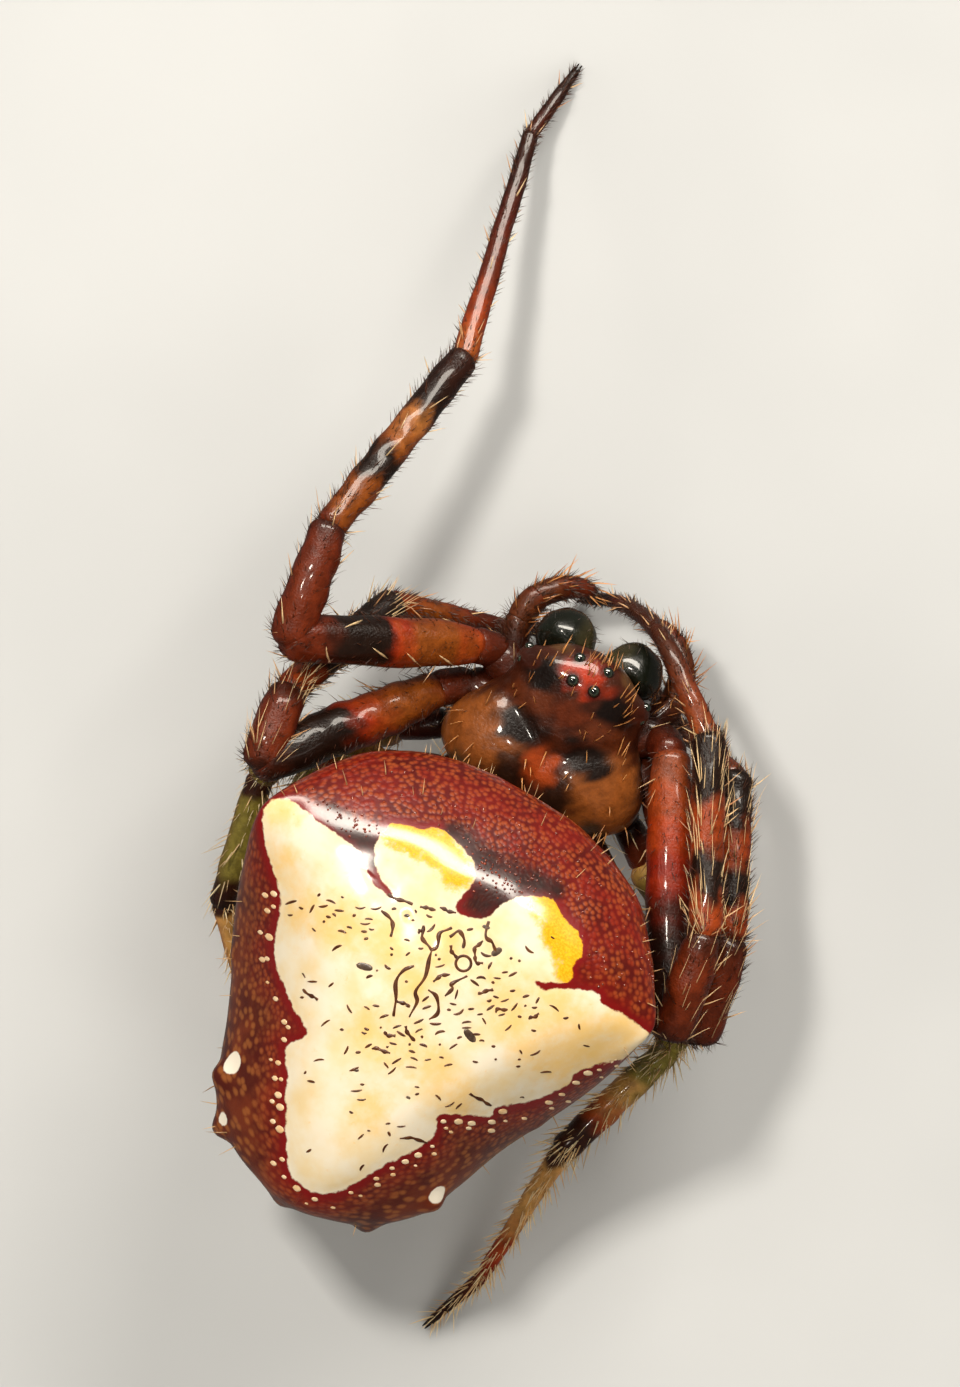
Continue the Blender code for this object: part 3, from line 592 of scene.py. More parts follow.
def shell(rings, first, last):
    """A closed surface: rings of equally many points joined in order and closed on a
    pole at each end, with its faces turned outwards by the sign of its volume."""
    count, sides = rings.shape[:2]
    index = np.arange(count * sides).reshape(count, sides)
    after = np.roll(index, -1, axis=1)
    points = np.concatenate([rings.reshape(-1, 3), [first, last]])
    quads = np.stack([index[:-1], after[:-1], after[1:], index[1:]], -1).reshape(-1, 4)
    start = np.stack([after[0], index[0], np.full(sides, count * sides)], -1)
    end = np.stack([index[-1], after[-1], np.full(sides, count * sides + 1)], -1)
    triangles = np.concatenate([start, end])
    a, b, c, d = (points[quads[:, k]] - points.mean(0) for k in range(4))
    volume = np.sum(a * np.cross(b, c)) + np.sum(a * np.cross(c, d))
    if volume < 0:
        quads, triangles = quads[:, ::-1], triangles[:, ::-1]
    return points, quads, triangles


def joined(parts):
    """Several shells as one set of points and faces."""
    starts = np.cumsum([0] + [len(points) for points, _, _ in parts])
    points, quads, triangles = zip(*parts)
    return (
        np.concatenate(points),
        np.concatenate([faces + start for faces, start in zip(quads, starts)]),
        np.concatenate([faces + start for faces, start in zip(triangles, starts)]),
    )


def with_poles(values):
    """A grid's values with one more for each pole, the mean of the ring beside it."""
    flat = values.reshape(-1, *values.shape[2:])
    return np.concatenate([flat, values[:1].mean(1), values[-1:].mean(1)])


def ring_normals(rings):
    """Outward unit normals of a grid of rings, from its differences along and around."""
    along = np.gradient(rings, axis=0)
    around = np.roll(rings, -1, 1) - np.roll(rings, 1, 1)
    normals = unit(np.cross(around, along))
    outward = np.sum(normals * (rings - rings.mean(1, keepdims=True)))
    return normals * (1 if outward > 0 else -1)


def grid_read(grid, along, around):
    """A grid of rings read between its points at shares along and around."""
    count, sides = grid.shape[:2]
    row = np.clip(along, 0, 1) * (count - 1)
    column = (around % 1.0) * sides
    r0, c0 = np.minimum(row.astype(int), count - 2), column.astype(int) % sides
    fr, fc = (row - r0)[:, None], (column - column.astype(int))[:, None]
    c1 = (c0 + 1) % sides
    near = grid[r0, c0] * (1 - fc) + grid[r0, c1] * fc
    far = grid[r0 + 1, c0] * (1 - fc) + grid[r0 + 1, c1] * fc
    return near * (1 - fr) + far * fr


def mesh_object(
    name, surface, finish, nodes=(), colours=None, numbers=None, uv=None, flat=None
):
    """An object of the spider from a surface in millimetres, with its finish, and with
    one colour or each point's own, numbers, an unwrap and a flattened place."""
    points, quads, triangles = surface
    mesh = bpy.data.meshes.new(name)
    mesh.from_pydata((points * MM).tolist(), [], quads.tolist() + triangles.tolist())
    mesh.shade_smooth()
    layers = [(key, "FLOAT", "value", values) for key, values in (numbers or {}).items()]
    if colours is not None:
        rgba = np.column_stack([np.broadcast_to(colours, points.shape), np.ones(len(points))])
        layers.append(("skin_colour", "FLOAT_COLOR", "color", rgba))
    if flat is not None:
        layers.append(("flat_place", "FLOAT_VECTOR", "vector", flat))
    for key, kind, field, values in layers:
        layer = mesh.attributes.new(key, kind, "POINT")
        layer.data.foreach_set(field, values.astype(np.float32).ravel())
    if uv is not None:
        corners = np.zeros(len(mesh.loops), np.int32)
        mesh.loops.foreach_get("vertex_index", corners)
        layer = mesh.uv_layers.new(name="OFBake")
        layer.data.foreach_set("uv", uv[corners].astype(np.float32).ravel())
    mesh.materials.append(finish)
    piece = bpy.data.objects.new(name, mesh)
    bpy.context.scene.collection.objects.link(piece)
    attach(piece, "root")
    if nodes:
        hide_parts(*nodes)


class Number:
    """A number of a shader that can be used in sums, differences and products."""

    def __init__(self, finish, socket):
        self.finish, self.socket = finish, socket

    def combined(self, operation, first, second):
        """One sum, difference or product as a Math node."""
        node = self.finish.node("ShaderNodeMath", {"operation": operation}, {0: first, 1: second})
        return Number(self.finish, node.outputs[0])

    def __add__(self, other):
        return self.combined("ADD", self, other)

    def __sub__(self, other):
        return self.combined("SUBTRACT", self, other)

    def __rsub__(self, other):
        return self.combined("SUBTRACT", other, self)

    def __mul__(self, other):
        return self.combined("MULTIPLY", self, other)

    __radd__ = __add__
    __rmul__ = __mul__

    def step(self, low, high):
        """0 below low, 1 above high, smooth between; turned round where low is higher."""
        node = self.finish.node(
            "ShaderNodeMapRange",
            {"interpolation_type": "SMOOTHSTEP"},
            {"Value": self, "From Min": low, "From Max": high},
        )
        return Number(self.finish, node.outputs["Result"])


class Finish:
    """A material built from a Principled surface and a few helpers for its nodes."""

    def __init__(self, name, **constants):
        self.material = bpy.data.materials.new(name)
        self.material.use_nodes = True
        self.tree = self.material.node_tree
        self.surface = self.tree.nodes["Principled BSDF"]
        for key, value in constants.items():
            socket = key.replace("_", " ").title().replace("Ior", "IOR")
            self.surface.inputs[socket].default_value = value
        self.place = self.node("ShaderNodeTexCoord").outputs["Object"]

    def node(self, kind, settings=None, sockets=None):
        """One node: its type, its settings, then the values or links of its sockets."""
        node = self.tree.nodes.new(kind)
        for key, value in (settings or {}).items():
            setattr(node, key, value)
        for key, value in (sockets or {}).items():
            self.link(value, node.inputs[key])
        return node

    def link(self, value, socket):
        """Gives a socket a value, a colour or another node's output."""
        if isinstance(value, Number):
            value = value.socket
        if isinstance(value, bpy.types.NodeSocket):
            self.tree.links.new(value, socket)
        elif isinstance(value, tuple) and len(value) == 3 and socket.type == "RGBA":
            socket.default_value = (*value, 1.0)
        else:
            socket.default_value = value

    def carried(self, name):
        """What the mesh carries under a name: its outputs Fac, Color and Vector."""
        return self.node("ShaderNodeAttribute", {"attribute_name": name}).outputs

    def number(self, name):
        """A number that the mesh carries."""
        return Number(self, self.carried(name)["Fac"])

    def noise(self, pitch, detail=3.0):
        """Cloudy noise from 0 to 1 with patches about the given size in millimetres."""
        sockets = {"Vector": self.place, "Scale": 1 / (pitch * MM), "Detail": detail}
        sockets["Roughness"] = NOISE_ROUGHNESS
        return Number(self, self.node("ShaderNodeTexNoise", {}, sockets).outputs["Fac"])

    def cells(self, pitch, randomness=0.85):
        """Distance from the nearest of points scattered over the flattened skin at the
        given pitch in millimetres, as a share of it."""
        flat = self.carried("flat_place")["Vector"]
        sockets = {"Vector": flat, "Scale": 1 / pitch, "Randomness": randomness}
        node = self.node("ShaderNodeTexVoronoi", {"voronoi_dimensions": "2D"}, sockets)
        return Number(self, node.outputs["Distance"])

    def mix(self, factor, first, second, blend="MIX"):
        """Two colours mixed: the first at factor 0 and the second at 1."""
        settings = {"data_type": "RGBA", "blend_type": blend}
        node = self.node("ShaderNodeMix", settings, {"Factor": factor, 6: first, 7: second})
        return node.outputs[2]

    def finish(self, colour, roughness=None, height=None, relief=0.01, strength=0.5):
        """Joins colour, roughness and the height of the relief, in mm, to the surface."""
        self.link(colour, self.surface.inputs["Base Color"])
        if roughness is not None:
            self.link(roughness, self.surface.inputs["Roughness"])
        if height is not None:
            sockets = {"Strength": strength, "Distance": relief * MM, "Height": height}
            bump = self.node("ShaderNodeBump", {}, sockets)
            self.link(bump.outputs["Normal"], self.surface.inputs["Normal"])
        return self.material


def abdomen_finish():
    """Cream plate with yellow lobes on deep red skin that is set with small paler dots."""
    f = Finish("abdomen_skin", specular_ior_level=0.15, coat_weight=0.9, coat_roughness=0.16)
    plate = f.number("plate")
    fine, broad, grain = f.noise(0.11, 4), f.noise(0.5, 3), f.noise(0.03, 3)
    inside = plate + (fine - 0.5) * 0.09

    cream = f.mix(broad.step(0.35, 0.75), tone(250, 238, 213), tone(247, 221, 168))
    tint = (f.number("tint") + (f.noise(0.16, 4) - 0.5) * 1.3).step(0.1, 1.2)
    tinted = f.mix(tint * 0.74, cream, tone(252, 204, 108))
    yellow = (f.number("yellow") + (fine - 0.5) * 1.2 + (grain - 0.5) * 0.6).step(0.12, 0.8)
    gold = f.mix(grain.step(0.35, 0.65), tone(252, 168, 4), tone(255, 196, 34))
    plate_colour = f.mix(yellow, tinted, gold)

    dark = (f.number("dark") + (fine - 0.5) * 0.7).step(0.10, 1.15)
    flank = f.number("flank")
    dots = f.cells(0.082) + (fine - 0.5) * 0.25
    front_dots = dots.step(0.62, 0.10) * (1 - flank)
    flank_dots = (f.cells(0.13, 1.0) + (fine - 0.5) * 0.3).step(0.46, 0.12) * flank
    bare = plate.step(-0.02, -0.16) * (1 - dark * 0.7)
    red = f.mix(broad.step(0.3, 0.7), tone(118, 14, 4), tone(86, 9, 3))
    sided = f.mix(flank, red, f.mix(broad.step(0.35, 0.65), tone(116, 44, 14), tone(80, 20, 7)))
    belly = f.mix(f.number("belly"), sided, tone(104, 84, 34))
    red_dot = f.mix(f.noise(0.25, 2).step(0.35, 0.65), tone(150, 40, 16), tone(176, 80, 34))
    dot_colour = f.mix(flank, red_dot, tone(172, 100, 44))
    dotted = f.mix((front_dots + flank_dots * 0.8) * bare * 0.75, belly, dot_colour)
    rimmed = f.mix(plate.step(-0.14, -0.02) * 0.85, dotted, tone(132, 6, 8))
    blackened = f.mix(dark * 0.93, rimmed, tone(32, 10, 5))

    whole = f.mix(inside.step(-0.012, 0.012), blackened, plate_colour)
    spot = (f.number("white") + (fine - 0.5) * 0.03).step(0.01, -0.01)
    white = f.mix(spot, whole, tone(250, 240, 222))
    marked = f.mix(f.number("tips"), white, tone(44, 10, 8))
    roughness = 0.34 + (fine - 0.5) * 0.1
    height = front_dots * bare * 0.6 + grain * 0.35 * plate.step(0.0, -0.04) + fine * 0.25
    return f.finish(marked, roughness, height, relief=0.02, strength=0.35)


def painted_finish(name):
    """Glossy skin in the colours that the mesh carries, mottled a little, with faint
    wrinkles."""
    roughness, pitch, relief, shine, coat, coat_roughness = SKINS[name]
    f = Finish(name, specular_ior_level=shine, coat_weight=coat, coat_roughness=coat_roughness)
    mottle, grain = f.noise(pitch), f.noise(pitch * 0.25)
    own = f.carried("skin_colour")["Color"]
    dark, light = (f.mix(1.0, own, tint, "MULTIPLY") for tint in MOTTLE_TINTS)
    colour = f.mix(mottle.step(0.25, 0.75), dark, light)
    rough = roughness + (mottle - 0.5) * 0.12
    return f.finish(colour, rough, mottle * 0.6 + grain * 0.5, relief=relief, strength=0.4)


def eye_finish():
    """A wet black lens with a dim green ring round its middle: a painted reflection, a ring of glint."""
    f = Finish("eye_lens", roughness=0.03, coat_weight=1.0, coat_roughness=0.01)
    rise = f.number("rise")
    # Painted reflection: a dim green ring of glint on the upper part of the lens
    ring = rise.step(0.60, 0.78) * rise.step(0.96, 0.86)
    painted_glint = f.mix(f.noise(0.06, 2).step(0.4, 0.7), tone(48, 60, 48), tone(32, 40, 34))
    return f.finish(f.mix(ring, tone(8, 10, 9), painted_glint))


def clouded_finish(name, dark, light, pitch=0.2, spread=0.15, **constants):
    """A finish clouded softly from a darker to a lighter colour."""
    f = Finish(name, **constants)
    return f.finish(f.mix(f.noise(pitch).step(0.5 - spread, 0.5 + spread), dark, light))


def hair_finish(name):
    """Hairs that shade from one colour to another by their own number."""
    dark, light, roughness = HAIR_TONES[name]
    f = Finish(name, roughness=roughness)
    return f.finish(f.mix(f.number("tone"), dark, light))


def ring_at(half_ring, turns):
    """A mirrored ring of the abdomen read at turns round its middle, by the angle of
    each point of the closed curve through it."""
    half = np.array(half_ring)
    curve = curve_through(np.concatenate([half, half[-2:0:-1] * (-1, 1, 1)]), 2880, closed=True)
    away = curve[:, :2] - ABDOMEN_CENTRE
    angle = np.arctan2(away[:, 0], away[:, 1]) % (2 * math.pi)
    order = np.argsort(angle)
    radius, height = (
        np.interp(turns, angle[order], values[order], period=2 * math.pi)
        for values in (np.linalg.norm(away, axis=1), curve[:, 2])
    )
    x = ABDOMEN_CENTRE[0] + radius * np.sin(turns)
    y = ABDOMEN_CENTRE[1] + radius * np.cos(turns)
    return np.stack([x, y, height], axis=-1)


def turned(points):
    """Points of the abdomen turned about its upright middle line by its yaw."""
    cosine, sine = math.cos(ABDOMEN_YAW), math.sin(ABDOMEN_YAW)
    away = points[..., :2] - ABDOMEN_CENTRE
    x = ABDOMEN_CENTRE[0] + away[..., 0] * cosine - away[..., 1] * sine
    y = ABDOMEN_CENTRE[1] + away[..., 0] * sine + away[..., 1] * cosine
    return np.concatenate([x[..., None], y[..., None], points[..., 2:]], axis=-1)


def outline_distance(points, outline):
    """How far points lie inside a closed outline, negative outside: the distance to the
    nearest edge, signed by counting the edges that a line to the right crosses."""
    start = np.asarray(outline)
    end = np.roll(start, -1, axis=0)
    along = end - start
    best = np.full(len(points), np.inf)
    inside = np.zeros(len(points), bool)
    for (sx, sy), (_, ey), way in zip(start, end, along):
        away = points - (sx, sy)
        share = np.clip(away @ way / (way @ way), 0, 1)
        best = np.minimum(best, np.linalg.norm(away - share[:, None] * way, axis=1))
        crosses = (sy > points[:, 1]) != (ey > points[:, 1])
        level = np.where(crosses, (points[:, 1] - sy) / (ey - sy + 1e-12), 0)
        inside ^= crosses & (points[:, 0] < sx + level * way[0])
    return np.where(inside, best, -best)


def patches(points, spots):
    """Soft round patches run together: each is 1 at its middle and 0 at its radius, and
    what is left over is the product of what each leaves."""
    left = np.ones(len(points))
    for x, y, radius in spots:
        away = np.linalg.norm(points - (x, y), axis=1)
        left *= smooth_step(0, 1, away / radius)
    return 1 - left


def softened(grid, level):
    """The abdomen with the height of its upper side averaged over its neighbours: the
    heights are gathered in square cells, blurred by a bell window both ways, read back
    between the cells, and blended out below the crest."""
    upper = level < GIRTH_LEVEL - 0.05
    flat = grid[upper].reshape(-1, 3)
    place = (flat[:, :2] - BLUR_CORNER) / BLUR_CELL
    shape = tuple(int(v) for v in place.max(0) + 3)
    index = tuple(np.rint(place).astype(int).T)
    total, count = np.zeros(shape), np.zeros(shape)
    np.add.at(total, index, flat[:, 2])
    np.add.at(count, index, 1.0)
    known = count > 0
    total[known] /= count[known]
    window = np.hanning(BLUR_SPAN)
    for axis in (0, 1):
        blurred = (np.apply_along_axis(np.convolve, axis, v, window, "same") for v in (total, known))
        total, known = blurred
    height = total / np.maximum(known, 1e-9)
    i, j = np.floor(place).astype(int).T
    s, t = (place % 1.0).T
    near = height[i, j] * (1 - s) + height[i + 1, j] * s
    far = height[i, j + 1] * (1 - s) + height[i + 1, j + 1] * s
    smooth = (near * (1 - t) + far * t).reshape(-1, grid.shape[1])
    part = 1 - smooth_step(*BLUR_LEVELS, level[upper])[:, None]
    result = grid.copy()
    result[upper, :, 2] += (smooth - grid[upper, :, 2]) * part
    return result


def abdomen_grid(around=420, down=178):
    """The abdomen's skin as meridians: at each turn a Catmull-Rom curve runs from the
    top through four rings to the belly. Warts are raised along the normals by a bell
    curve of the distance, and the pits of the muscles are sunk by another."""
    turns = full_turn(around)
    halves = (UPPER_RING, CREST_RING, GIRTH_RING, BELLY_RING)
    rings = [ring_at(half, turns) + (shift, 0, 0) for half, shift in zip(halves, ROLL_SHIFT)]
    top, belly = (np.broadcast_to(pole, rings[0].shape) for pole in (TOP_POLE, BELLY_POLE))
    opposite_top, opposite_belly = (np.roll(ring, around // 2, 0) for ring in (rings[0], rings[-1]))
    knots = np.stack([opposite_top, top, *rings, belly, opposite_belly])
    level = np.linspace(0, 5, down + 1)[1:-1]
    grid = softened(turned(cubic_between(knots, level)), level)
    normals = ring_normals(grid)
    plate = np.full(grid.shape[:2], -3.0)
    upper = level < GIRTH_LEVEL
    outline = curve_through(PLATE, 4 * len(PLATE), closed=True)
    flat = grid[upper].reshape(-1, 3)
    plate[upper] = outline_distance(flat[:, :2], outline).reshape(-1, around)
    plate = np.minimum(plate, (GIRTH_LEVEL - 0.25 - level)[:, None] * 0.8)

    raised = 0.008 * waves(grid, 0.9, 3)
    raised -= 0.008 * bell(plate, 0.07) * (grid[..., 1] < -2.7)
    for place, spread, height in WARTS:
        raised += height * bell(np.linalg.norm(grid - place, axis=-1), spread) ** 2
    for x, y, long, wide, _ in SIGILLA:
        away = np.linalg.norm(grid[..., :2] - (x, y), axis=-1)
        raised -= 0.012 * bell(away, long + wide) ** 2 * upper[:, None]
    return grid + normals * raised[..., None], level, plate


def abdomen_numbers(grid, level, plate):
    """Where the colours of the abdomen lie, as a number at each point."""
    flat = grid.reshape(-1, 3)
    height = np.repeat(level, grid.shape[1])
    above = height < GIRTH_LEVEL + 0.2
    white = np.full(len(flat), 9.0)
    for *place, radius in WHITE_SPOTS:
        white = np.minimum(white, np.linalg.norm(flat - place, axis=1) - radius)
    tips = np.zeros(len(flat))
    for (x, y, z), spread, _ in WARTS:
        away = np.linalg.norm(flat - (x, y, z - 0.06), axis=1)
        tips = np.maximum(tips, 1 - smooth_step(0.3, 0.75, away / spread))
    tips *= smooth_step(0.0, 0.03, white)
    values = {
        "plate": plate.ravel(),
        "yellow": patches(flat[:, :2], YELLOW_PATCHES) * above,
        "tint": patches(flat[:, :2], TINT_PATCHES) * above,
        "dark": patches(flat[:, :2], DARK_PATCHES) * above,
        "flank": smooth_step(-1.9, -3.6, flat[:, 1]) * smooth_step(-0.05, -0.5, plate.ravel()),
        "belly": smooth_step(GIRTH_LEVEL + 0.1, BELLY_LEVEL - 0.3, height),
        "white": white,
        "tips": tips,
    }
    return {name: with_poles(v.reshape(grid.shape[:2])) for name, v in values.items()}


def upper_side(surface):
    """A way to lay drawings on a surface from straight above: a function that lifts
    places on the floor plan to the skin, and gives the normals there."""
    points, quads, triangles = surface
    tree = BVHTree.FromPolygons(points.tolist(), quads.tolist() + triangles.tolist())

    def drape(places):
        hits = [tree.ray_cast((x, y, DROP_HEIGHT), (0.0, 0.0, -1.0)) for x, y in places]
        hits = [h if h[0] else tree.find_nearest((x, y, SKIN_HEIGHT)) for h, (x, y) in zip(hits, places)]
        return np.array([h[0] for h in hits]), np.array([h[1] for h in hits])

    return drape


def ribbon(path, widths, drape):
    """A flat stroke on the skin: a lens section carried along a path, its edges and its
    keel just under the skin, drawn to a point at both ends."""
    places, normals = drape(path)
    along = unit(np.gradient(places, axis=0))
    across = unit(np.cross(normals, along))
    side = np.array([-1.0, -0.55, 0.0, 0.55, 1.0, 0.0])
    lift = np.array([-0.002, 0.005, 0.008, 0.005, -0.002, -0.014])
    rings = places[:, None] + across[:, None] * side[:, None] * widths[:, None, None]
    rings = rings + normals[:, None] * lift[:, None]
    return shell(rings, places[0] - normals[0] * 0.004, places[-1] - normals[-1] * 0.004)


def vein_marks(drape):
    """The branched veins of the plate and the ring among them, and their points."""
    strokes, taken = [], []
    along = np.linspace(0, 1, 34)
    ends = np.sin(np.linspace(0.2, math.pi - 0.2, 34)) ** 0.3
    for k, vein in enumerate(VEINS):
        path = curve_through(vein, 34)
        path += 0.006 * np.stack([np.sin(along * 9 + k), np.cos(along * 8 + 2 * k)], -1)
        swell = 1 + 0.3 * np.sin(along * 14 + 2 * k)
        strokes.append(ribbon(path, VEIN_WIDTH * swell * ends, drape))
        taken.append(path)
    x, y, radius = VEIN_RING
    turn = np.linspace(0, 2 * math.pi * 1.03, 30)
    circle = np.stack([x + radius * np.cos(turn), y + radius * np.sin(turn)], -1)
    strokes.append(ribbon(circle, np.full(30, VEIN_WIDTH * 0.8), drape))
    return joined(strokes), np.concatenate([*taken, circle])


def pit_marks(drape):
    """The grey pits of the muscles as ovals: width follows the square root of 1 - t2."""
    t = np.linspace(-1, 1, 14)
    strokes = []
    for x, y, long, wide, heading in SIGILLA:
        way = np.array([math.cos(math.radians(heading)), math.sin(math.radians(heading))])
        path = (x, y) + way * (long * t)[:, None]
        strokes.append(ribbon(path, wide * np.sqrt(1.02 - t * t), drape))
    return joined(strokes)


def dash_marks(drape, plate_at, taken):
    """Short bent dashes scattered in clouds, about level in the picture, each kept a gap
    away from the veins and the other dashes."""
    draw = np.random.default_rng(11)
    cosine, sine = math.cos(VIEW_TURN), math.sin(VIEW_TURN)
    turn = np.array([[cosine, sine], [-sine, cosine]])
    t = np.linspace(-1, 1, 9)
    strokes = []
    for x, y, across, along, count in DASH_CLOUDS:
        middles = (x, y) + scattered(draw, across, along, count) @ turn
        headings = VIEW_TURN + draw.normal(0, 0.5, count)
        lengths = draw.uniform(*DASH_LENGTH, count)
        widths = draw.uniform(*DASH_WIDTH, count)
        bends = draw.normal(0, 0.18, count)
        for middle, angle, length, width, bend in zip(middles, headings, lengths, widths, bends):
            way = np.array([math.cos(angle), math.sin(angle)])
            side = np.array([-way[1], way[0]])
            path = middle + way * (length * t)[:, None] + side * (bend * length * t * t)[:, None]
            gaps = np.linalg.norm(taken[:, None] - path[None, ::4], axis=-1)
            if plate_at(path).min() < 0.06 or gaps.min() < DASH_GAP:
                continue
            taken = np.concatenate([taken, path])
            strokes.append(ribbon(path, width * np.sqrt(1.1 - t * t), drape))
    return joined(strokes)


def rim_dots(drape, plate_at):
    """Cream dots in two rows beside the plate, small domes at an even pitch along its
    outline, kept to the flanks and the rear."""
    draw = np.random.default_rng(5)
    count = 1200
    outline = curve_through(PLATE, count, closed=True)
    length = np.cumsum(np.linalg.norm(np.roll(outline, -1, 0) - outline, axis=1))
    t = np.linspace(-1, 1, 9)
    domes = []
    for offset, pitch, size in RIM_DOT_ROWS:
        for distance in np.arange(0, length[-1], pitch):
            k = int(np.searchsorted(length, distance + draw.uniform(-0.03, 0.03))) % count
            way = outline[(k + 2) % count] - outline[k - 2]
            out = np.array([way[1], -way[0]]) / max(np.linalg.norm(way), 1e-9)
            spot = outline[k] - out * (offset + draw.uniform(-0.02, 0.02))
            inside = plate_at(spot[None])[0]
            if spot[1] > RIM_DOT_START or not -offset - 0.06 <= inside <= -0.04:
                continue
            if draw.uniform() < RIM_DOT_SKIPPED:
                continue
            radius = size * draw.uniform(0.55, 1.15)
            path = spot + np.stack([t * radius, 0.15 * radius * t], -1)
            domes.append(ribbon(path, radius * np.sqrt(1.03 - t * t), drape))
    return joined(domes)


def skin_grains(drape, plate_at):
    """Tiny round grains that catch the light on the red skin before the plate, scattered
    in clouds and sunk to their middles."""
    draw = np.random.default_rng(17)
    grains = []
    for x, y, across, along, count in GRAIN_CLOUDS:
        middles = (x, y) + scattered(draw, across, along, count)
        for place in drape(middles[plate_at(middles) < -0.03])[0]:
            grains.append(shell(*ball_rings(place, [draw.uniform(*GRAIN_RADIUS)] * 3, 8, 4)))
    return joined(grains)


def limb(points, radii, count, sides, caps=(0.06, 0.06), reference=(0.0, 0.0, 1.0)):
    """One length of a limb: rings square to a Catmull-Rom path, with radii through named
    values that close in a quarter circle over each end. Places crowd towards the ends as
    a cosine, and a ring's first axis is square to a reference direction."""
    share = 0.5 - 0.5 * np.cos(np.linspace(0, math.pi, count + 2))[1:-1]
    dense = curve_through(points, 200)
    length = np.concatenate([[0], np.cumsum(np.linalg.norm(np.diff(dense, axis=0), axis=1))])
    length /= length[-1]
    path = np.stack([np.interp(share, length, dense[:, k]) for k in range(3)], -1)
    profile = curve_through(np.array(radii)[:, None], 100)[:, 0]
    thick = np.interp(share, np.linspace(0, 1, 100), profile)
    for cap, place in zip(caps, (share, 1 - share)):
        thick = thick * np.sqrt(1 - np.clip(1 - place / cap, 0, 1) ** 2)
    along = unit(np.gradient(path, axis=0))
    across = unit(np.cross(along, reference))
    upward = np.cross(across, along)
    turn = full_turn(sides)[:, None]
    outward = across[:, None] * np.cos(turn) + upward[:, None] * np.sin(turn)
    return path[:, None] + thick[:, None, None] * outward, share, (dense[0], dense[-1])


def banded(bands, shares):
    """Colours along a limb, blended straight between the stops of its bands."""
    stops, colours = (np.array(v) for v in zip(*bands))
    return np.stack([np.interp(shares, stops, colours[:, k]) for k in range(3)], -1)


def leg_lengths(name):
    """The lines of the seven lengths of a leg, from the hip inside the body to the tip."""
    hip, ring_end, knee, knee_end, patella_end, ankle, *foot = np.array(LEGS[name])
    root = hip * (0.45, 0.55, 1.0) + (0.0, -0.1, 0.0)
    split = max(1, len(foot) - 2)
    knee = (knee + knee_end) / 2
    bow = np.array([0.0, 0.0, 0.06])
    return {
        "coxa": (root, hip),
        "trochanter": (hip, ring_end),
        "femur": (ring_end, (ring_end + knee) / 2 + bow, knee),
        "patella": (knee, (knee + patella_end) / 2 + bow, patella_end),
        "tibia": (patella_end, (patella_end + ankle) / 2 + bow * 0.5, ankle),
        "metatarsus": (ankle, *foot[:split]),
        "tarsus": foot[split - 1 :],
    }


def lengthened(line, start, end):
    """A line carried on straight past its two ends by the given lengths."""
    line = np.array(line, float)
    line[0] -= unit(line[1] - line[0]) * start
    line[-1] += unit(line[-1] - line[-2]) * end
    return line


def leg_skin(name, order):
    """One leg as seven jointed lengths, with its colours and its grids for the hairs."""
    parts, colours, grids = [], [], {}
    shade = np.array(LEG_PAINTED_SHADE) * (0.4 if name == "right_4" else 1.0)
    for k, (kind, line) in enumerate(leg_lengths(name).items()):
        radii = np.array(SEGMENT_RADII[kind]) * LEG_GIRTH[name[-1]]
        overlap = 0.0 if kind == "tarsus" else JOINT_OVERLAP
        line = lengthened(line, radii[0] * JOINT_OVERLAP, radii[-1] * overlap)
        span = np.linalg.norm(np.diff(line, axis=0), axis=1).sum()
        caps = np.minimum(0.4, JOINT_ROUNDING * radii[[0, -1]] / span)
        rings, share, ends = limb(line, radii, int(np.clip(span / 0.045, 20, 70)), 28, caps)
        lumps = 0.012 * waves(rings, 0.5, 40 + 7 * order + k) * radii.mean() / 0.2
        rings = rings + ring_normals(rings) * lumps[..., None]
        parts.append(shell(rings, *ends))
        blotch = 0.045 * waves(rings, 0.35, 90 + 7 * order + k)
        shades = banded(LEG_BANDS[name][kind], np.clip(share[:, None] + blotch, 0, 1))
        # Painted shade: the sides and under side of each length are darkened by how little their normals
        # point up
        side = 1 - smooth_step(0.1, 0.9, ring_normals(rings)[..., 2:])
        colours.append(with_poles(shades * (1 - side * shade)))
        grids[kind] = rings
    return joined(parts), np.concatenate(colours), grids


def hair_mesh(roots, normals, along, lengths, thick, lean, bend):
    """Tapered bent hairs, each three rings of three points and a tip. A hair starts a
    little under the skin, leans from the normal towards the way along, and bends on."""
    count = len(roots)
    along = unit(along - normals * np.sum(along * normals, axis=1, keepdims=True))
    way = unit(normals * np.cos(lean)[:, None] + along * np.sin(lean)[:, None])
    side = unit(np.cross(way, normals + 0.01 * along))
    other = np.cross(way, side)
    share = np.array([0.0, 0.4, 0.75])
    taper = np.array([1.0, 0.75, 0.42])
    reach = (lengths[:, None] * share)[..., None]
    spine = roots[:, None] - normals[:, None] * HAIR_SINK + way[:, None] * reach
    spine = spine + along[:, None] * (bend * lengths)[:, None, None] * (share**2)[:, None]
    tip = roots + way * lengths[:, None] + along * (bend * lengths)[:, None]
    turn = full_turn(3)[:, None]
    arm = side[:, None] * np.cos(turn) + other[:, None] * np.sin(turn)
    rings = spine[:, :, None] + arm[:, None] * (thick[:, None] * taper)[..., None, None]
    points = np.concatenate([rings.reshape(count, -1, 3), tip[:, None]], axis=1).reshape(-1, 3)
    start = (np.arange(count) * HAIR_POINTS)[:, None, None]
    quads = (np.array(HAIR_QUADS) + start).reshape(-1, 4)
    triangles = (np.array(HAIR_TRIANGLES) + start).reshape(-1, 3)
    return points, quads[:, ::-1], triangles[:, ::-1]


